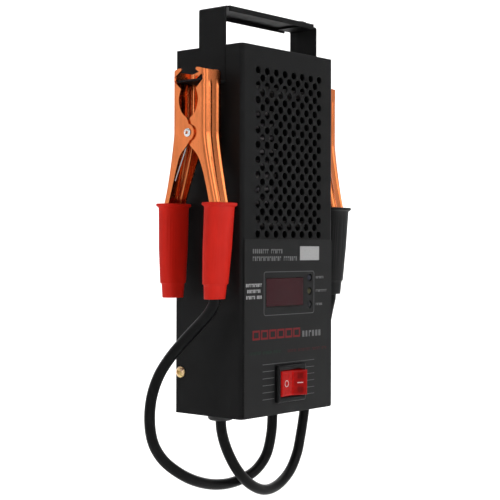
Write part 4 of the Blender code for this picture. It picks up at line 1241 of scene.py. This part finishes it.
class JawHalf:
    """One stamped half of a clip. side is +1 towards the rear and -1 towards the front."""

    def __init__(self, side, width, web, grip_centre, grip_end, depth, ear):
        self.side, self.width, self.web, self.ear = side, width, web, ear
        self.grip_centre, self.grip_end, self.depth = grip_centre, grip_end, depth

    def centre(self, v):
        t = (GRIP_TOP - v) / GRIP_LENGTH
        return self.grip_centre + (self.grip_end - self.grip_centre) * t

    def back(self, v):
        if v >= 0:
            return self.web
        mouth = self.centre(GRIP_TOP) + self.depth / 2
        if v >= GRIP_TOP:
            return self.web + (mouth - self.web) * (v / GRIP_TOP) ** 1.3
        return self.centre(v) + self.depth / 2 - 0.0012 * (GRIP_TOP - v) / GRIP_LENGTH

    def half_width(self, v):
        narrow = 1 - 0.17 * smoothstep(v / GRIP_TOP)
        if v < GRIP_TOP:
            narrow -= 0.10 * (GRIP_TOP - v) / GRIP_LENGTH
        return self.width / 2 * narrow

    def inner_edge(self):
        """The side walls' inner edge from the top down, as (distance from the rivet, height)."""
        tab = TAB_TOP - RIVET_Z
        mouth = self.centre(GRIP_TOP) - self.depth / 2
        edge = [(0.0066, JAW_TOP), (0.0059, JAW_TOP - 0.0005), (0.0058, JAW_TOP - 0.0014)]
        edge += [(0.0123, tab + 0.0005), (0.0123, tab - STRAP - 0.0005)]
        above = ((0.0062, 0.0292, 0), (0.0080, 0.0215, 0), (0.0052, 0.0134, 0), (0.0006, 0.0096, 0))
        below = (
            (0.0010, -0.0088, 0), (0.0072, -0.0150, 0), (0.0112, -0.0240, 0), (mouth, GRIP_TOP, 0),
        )
        edge += [(p.x, p.y) for p in through(above, 6)]
        edge += arc((0, 0), self.ear, 100, 250, 16)
        edge += [(p.x, p.y) for p in through(below, 6)]
        return edge + [(self.centre(CHANNEL_END) - self.depth / 2 + 0.0012, CHANNEL_END)]


REAR_HALF = JawHalf(1, 0.0205, 0.0143, 0.0219, 0.0226, 0.0060, 0.0056)
FRONT_HALF = JawHalf(-1, 0.0177, 0.0143, 0.0198, 0.0155, 0.0060, 0.0052)


def jaw_section(half, v, inner):
    """Half of the channel's section at a height: (across, in from the web), edge to middle."""
    h, r = half.half_width(v), CLIP_BEND
    reach = half.back(v) - inner
    wall = max(0.0, reach - r)
    start = 0.0 if reach >= r else math.asin(1 - reach / r)
    bend = (math.pi / 2 - start) * r
    split = max(wall, 0.3 * (wall + bend))
    marks = [split * i / 5 for i in range(5)]
    marks += [split + (wall + bend - split) * i / 7 for i in range(8)]
    out = []
    for t in marks:
        if t <= wall:
            out.append((h, reach - t))
        else:
            a = start + (t - wall) / r
            out.append((h - r + r * math.cos(a), r - r * math.sin(a)))
    flat = h - r
    rib_x, rib_half, rib_top = 0.0040, 0.0020, 0.0335
    fade = smoothstep((rib_top - v) / 0.0015)
    for i in range(1, 13):
        x = flat * (1 - i / 12)
        ridge = smoothstep(1 - abs(x - rib_x) / rib_half)
        out.append((x, -sizes().rib * ridge * fade))
    return out


def make_jaw(name, node, half, mid_x):
    edge = half.inner_edge()
    longest, dip = 0.0018, 0.0016  # a step down the edge, and the dip in the middle of the top
    rows = []
    for (y0, v0), (y1, v1) in zip(edge, edge[1:]):
        steps = max(1, math.ceil(abs(v1 - v0) / longest))
        rows += [(y0 + (y1 - y0) * i / steps, v0 + (v1 - v0) * i / steps) for i in range(steps)]
    rows.append(edge[-1])
    bm = bmesh.new()
    grid = []
    for number, (inner, v) in enumerate(rows):
        one = jaw_section(half, v, inner)
        section = one + [(-x, d) for x, d in reversed(one[:-1])]
        count = len(section)
        ring = []
        for k, (across, inward) in enumerate(section):
            middle_share = smoothstep((0.5 - abs(k / (count - 1) - 0.5)) * 2 / 0.45)
            trimmed = v - dip * middle_share * smoothstep(1 - number / 4)
            y = half.back(v) - inward
            spot = (mid_x + half.side * across, half.side * y, RIVET_Z + trimmed)
            ring.append(bm.verts.new(spot))
        grid.append(ring)
    for a, b in zip(grid, grid[1:]):
        for i in range(len(a) - 1):
            bm.faces.new((a[i], b[i], b[i + 1], a[i + 1]))
    bm.normal_update()
    bm.faces.ensure_lookup_table()
    web = bm.faces[len(grid[0]) // 2]
    if web.normal.y * half.side < 0:
        bmesh.ops.reverse_faces(bm, faces=bm.faces)
    obj = from_bmesh(name, bm, closed=False, sharp=60)
    thicken(obj, CLIP_SHEET)
    soften(obj, sizes().edge, 45)
    return settle(obj, "copper", node, [node])


def sleeve_section(half_x, half_y, power, sides, flute):
    pitch = 0.0021  # from flute to flute
    out = []
    for i in range(sides):
        a = 2 * math.pi * i / sides
        c, s = math.cos(a), math.sin(a)
        x = math.copysign(abs(c) ** (2 / power), c) * half_x
        y = math.copysign(abs(s) ** (2 / power), s) * half_y
        wave = 1 - math.cos(2 * math.pi * x / pitch)
        dip = flute * 0.5 * wave * smoothstep((abs(s) - 0.3) / 0.3)
        out.append((x, y - math.copysign(dip, y)))
    return out


def make_grip(name, node, half, mid_x, finish_name):
    sides = 96
    top = GRIP_TOP - 0.0004
    bottom = top - GRIP_LENGTH
    rows = [  # height, half width, half depth, flutes
        (top - 0.0002, 0.0125, 0.0062, 0), (top, 0.0133, 0.0069, 0),
        (top - 0.0004, 0.0137, 0.0073, 0), (top - 0.0010, 0.0138, 0.0074, 0),
        (top - 0.0016, 0.0137, 0.0073, 0),
        (top - 0.0021, 0.0132, 0.0068, 0), (top - 0.0024, 0.0126, 0.0062, 0),
        (top - 0.0030, 0.0122, 0.0058, 0), (top - 0.0075, 0.0121, 0.00575, 0),
        (top - 0.0120, 0.0120, 0.0057, 1), (top - 0.0200, 0.0118, 0.0057, 1),
        (top - 0.0300, 0.0116, 0.0057, 1), (top - 0.0400, 0.0110, 0.0056, 1),
        (top - 0.0440, 0.0107, 0.0056, 0.3), (top - 0.0470, 0.0105, 0.00555, 0),
        (top - 0.0528, 0.0100, 0.0055, 0), (top - 0.0534, 0.0099, 0.00545, 0),
        (top - 0.0537, 0.0095, 0.0054, 0), (top - 0.0540, 0.0087, 0.0052, 0),
        (top - 0.0560, 0.0084, 0.0052, 0), (bottom + 0.0006, 0.0077, 0.0051, 0),
        (bottom + 0.0002, 0.0076, 0.0050, 0), (bottom, 0.0072, 0.0047, 0),
    ]
    bore = CORD_DIAMETER / 2 + 0.0002
    inside = [
        (bottom, bore + 0.0003, bore + 0.0003, 0), (bottom + 0.0004, bore, bore, 0),
        (bottom + 0.0085, bore, bore, 0), (bottom + 0.0105, 0.0080, 0.0041, 0),
        (top - 0.030, 0.0100, 0.0044, 0), (top - 0.0004, 0.0106, 0.0047, 0),
        (top - 0.0002, 0.0112, 0.0051, 0),
    ]
    bm = bmesh.new()
    rings = []
    for v, half_x, half_y, fluted in rows + inside:
        power = 2.0 if half_x == half_y else 2.9
        centre = half.side * half.centre(v)
        section = sleeve_section(half_x, half_y, power, sides, sizes().flute * 2 * fluted)
        rings.append([bm.verts.new((mid_x + x, centre + y, RIVET_Z + v)) for x, y in section])
    loft(bm, rings, closed=True)
    grip = from_bmesh(name, bm, sharp=70)
    return settle(grip, finish_name, node, [node])


def make_clips():
    for name, sign in (("red", -1), ("black", 1)):
        mid_x = sign * CLIP_X
        make_jaw(f"{name}_rear_jaw_ribbed", f"{name}_clip_rear_jaw", REAR_HALF, mid_x)
        make_jaw(f"{name}_front_jaw_ribbed", f"{name}_clip_front_jaw", FRONT_HALF, mid_x)
        half = 0.01055
        head = [(0.0, -0.0008), (0.0008, -0.0008), (0.0010, -0.0006), (0.0011, 0.0006),
                (0.0014, 0.00085), (0.0020, 0.00082), (0.0026, 0.0005), (0.00285, 0.0001),
                (0.0028, 0.0), (0.002, 0.0)]
        profile = head + [(r, -2 * half - h) for r, h in reversed(head)]
        node = f"{name}_clip_rivet"
        place = along((mid_x + sign * half, 0, RIVET_Z), (sign, 0, 0))
        rivet = turned(f"{name}_hollow_rivet", profile, place, 40)
        settle(rivet, "zinc", node, [node])
        make_spring(name, mid_x)


def make_spring(name, mid_x):
    """A torsion spring round the rivet, with a leg down inside each half."""
    wire, radius, turns, steps = 0.0015, 0.0038, 3.5, 24
    pitch = wire + 0.0003
    start_x = -turns * pitch / 2
    legs_end = RIVET_Z - 0.031
    rear = Vector((mid_x + start_x, 0.0180, legs_end))
    front = Vector((mid_x - start_x, -0.0166, legs_end))
    coil = []
    for i in range(int(turns * steps) + 1):
        a = 2 * math.pi * i / steps
        coil.append(Vector((
            mid_x + start_x + turns * pitch * i / (turns * steps),
            radius * math.cos(a), RIVET_Z + radius * math.sin(a),
        )))
    path = [rear.lerp(coil[0], i / 8) for i in range(8)] + coil
    path += [coil[-1].lerp(front, (i + 1) / 8) for i in range(8)]
    spring = tube_mesh(f"{name}_torsion_spring", path, wire / 2, 14)
    node = f"{name}_clip_spring"
    settle(spring, "spring wire", node, [node], body="blend")
    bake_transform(spring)


def make_grips():
    for name, sign in (("red", -1), ("black", 1)):
        mid_x = sign * GRIP_X
        for part, half in (("rear", REAR_HALF), ("front", FRONT_HALF)):
            node = f"{name}_clip_{part}_grip"
            make_grip(f"{name}_{part}_sleeve", node, half, mid_x, f"{name} vinyl")


# ---------------------------------------------------------------- inside
def make_inside():
    carry("board", "display_board", edge=0.0001)
    carry("zinc", *[f"board_post_{n}" for n in range(1, 5)], edge=0.0001)
    carry("heat wire", "load_coil", edge=0)
    # the coil boards carry the darkened ceramic colour, painted shade for the inside of the case
    carry("ceramic", "lower_coil_board", "upper_coil_board", edge=0.0003)


# ---------------------------------------------------------------- add-on
class TESTER_OT_stage(bpy.types.Operator):
    """Camera, pale floor and soft studio light"""

    bl_idname = "tester.stage"
    bl_label = "Stage"

    def execute(self, context):
        make_stage()
        return {"FINISHED"}


class TESTER_OT_cords(bpy.types.Operator):
    """Both cords from the case to their clips"""

    bl_idname = "tester.cords"
    bl_label = "Test leads"

    def execute(self, context):
        make_cords()
        return {"FINISHED"}


class TESTER_OT_bushings(bpy.types.Operator):
    """Snap bushings where the cords leave the case"""

    bl_idname = "tester.bushings"
    bl_label = "Cord bushings"

    def execute(self, context):
        make_bushings()
        return {"FINISHED"}


class TESTER_OT_case(bpy.types.Operator):
    """Perforated front cover and the back pan"""

    bl_idname = "tester.case"
    bl_label = "Case"

    def execute(self, context):
        make_case()
        return {"FINISHED"}


class TESTER_OT_case_screws(bpy.types.Operator):
    """Cross-head screws low on the sides"""

    bl_idname = "tester.case_screws"
    bl_label = "Case screws"

    def execute(self, context):
        make_case_screws()
        return {"FINISHED"}


class TESTER_OT_handle(bpy.types.Operator):
    """Straps, carrying bar, clip tabs and rivets"""

    bl_idname = "tester.handle"
    bl_label = "Handle"

    def execute(self, context):
        make_handle()
        return {"FINISHED"}


class TESTER_OT_front_panel(bpy.types.Operator):
    """Printed film with its markings"""

    bl_idname = "tester.front_panel"
    bl_label = "Front label"

    def execute(self, context):
        make_front_panel()
        return {"FINISHED"}


class TESTER_OT_display(bpy.types.Operator):
    """Smoked window, digits and lamps"""

    bl_idname = "tester.display"
    bl_label = "Display"

    def execute(self, context):
        make_display()
        return {"FINISHED"}


class TESTER_OT_switch(bpy.types.Operator):
    """Bezel, rocker and terminals"""

    bl_idname = "tester.switch"
    bl_label = "Switch"

    def execute(self, context):
        make_switch()
        return {"FINISHED"}


class TESTER_OT_clips(bpy.types.Operator):
    """Copper jaws, rivets and springs"""

    bl_idname = "tester.clips"
    bl_label = "Spring clips"

    def execute(self, context):
        make_clips()
        return {"FINISHED"}


class TESTER_OT_grips(bpy.types.Operator):
    """Dipped vinyl sleeves"""

    bl_idname = "tester.grips"
    bl_label = "Clip grips"

    def execute(self, context):
        make_grips()
        return {"FINISHED"}


class TESTER_OT_inside(bpy.types.Operator):
    """Load coil, boards and posts"""

    bl_idname = "tester.inside"
    bl_label = "Inside"

    def execute(self, context):
        make_inside()
        return {"FINISHED"}


OPERATORS = [
    TESTER_OT_stage,
    TESTER_OT_cords,
    TESTER_OT_bushings,
    TESTER_OT_case,
    TESTER_OT_case_screws,
    TESTER_OT_handle,
    TESTER_OT_front_panel,
    TESTER_OT_display,
    TESTER_OT_switch,
    TESTER_OT_clips,
    TESTER_OT_grips,
    TESTER_OT_inside,
]


class TESTER_PT_panel(bpy.types.Panel):
    """Lists what builds the tester."""

    bl_label = "Battery Load Tester"
    bl_space_type = "VIEW_3D"
    bl_region_type = "UI"
    bl_category = "Tester"

    def draw(self, context):
        for made in OPERATORS:
            self.layout.operator(made.bl_idname)
        for group in (context.scene.tester_finish, context.scene.tester_sizes):
            for key in group.bl_rna.properties.keys():
                if key not in ("rna_type", "name"):
                    self.layout.prop(group, key)


CLASSES = [TesterFinish, TesterSizes, *OPERATORS, TESTER_PT_panel]


def register():
    for made in CLASSES:
        bpy.utils.register_class(made)
    bpy.types.Scene.tester_finish = bpy.props.PointerProperty(type=TesterFinish)
    bpy.types.Scene.tester_sizes = bpy.props.PointerProperty(type=TesterSizes)


def unregister():
    del bpy.types.Scene.tester_finish
    del bpy.types.Scene.tester_sizes
    for made in reversed(CLASSES):
        bpy.utils.unregister_class(made)


def main():
    register()
    for made in OPERATORS:
        group, action = made.bl_idname.split(".")
        getattr(getattr(bpy.ops, group), action)()


if __name__ == "__main__":
    main()
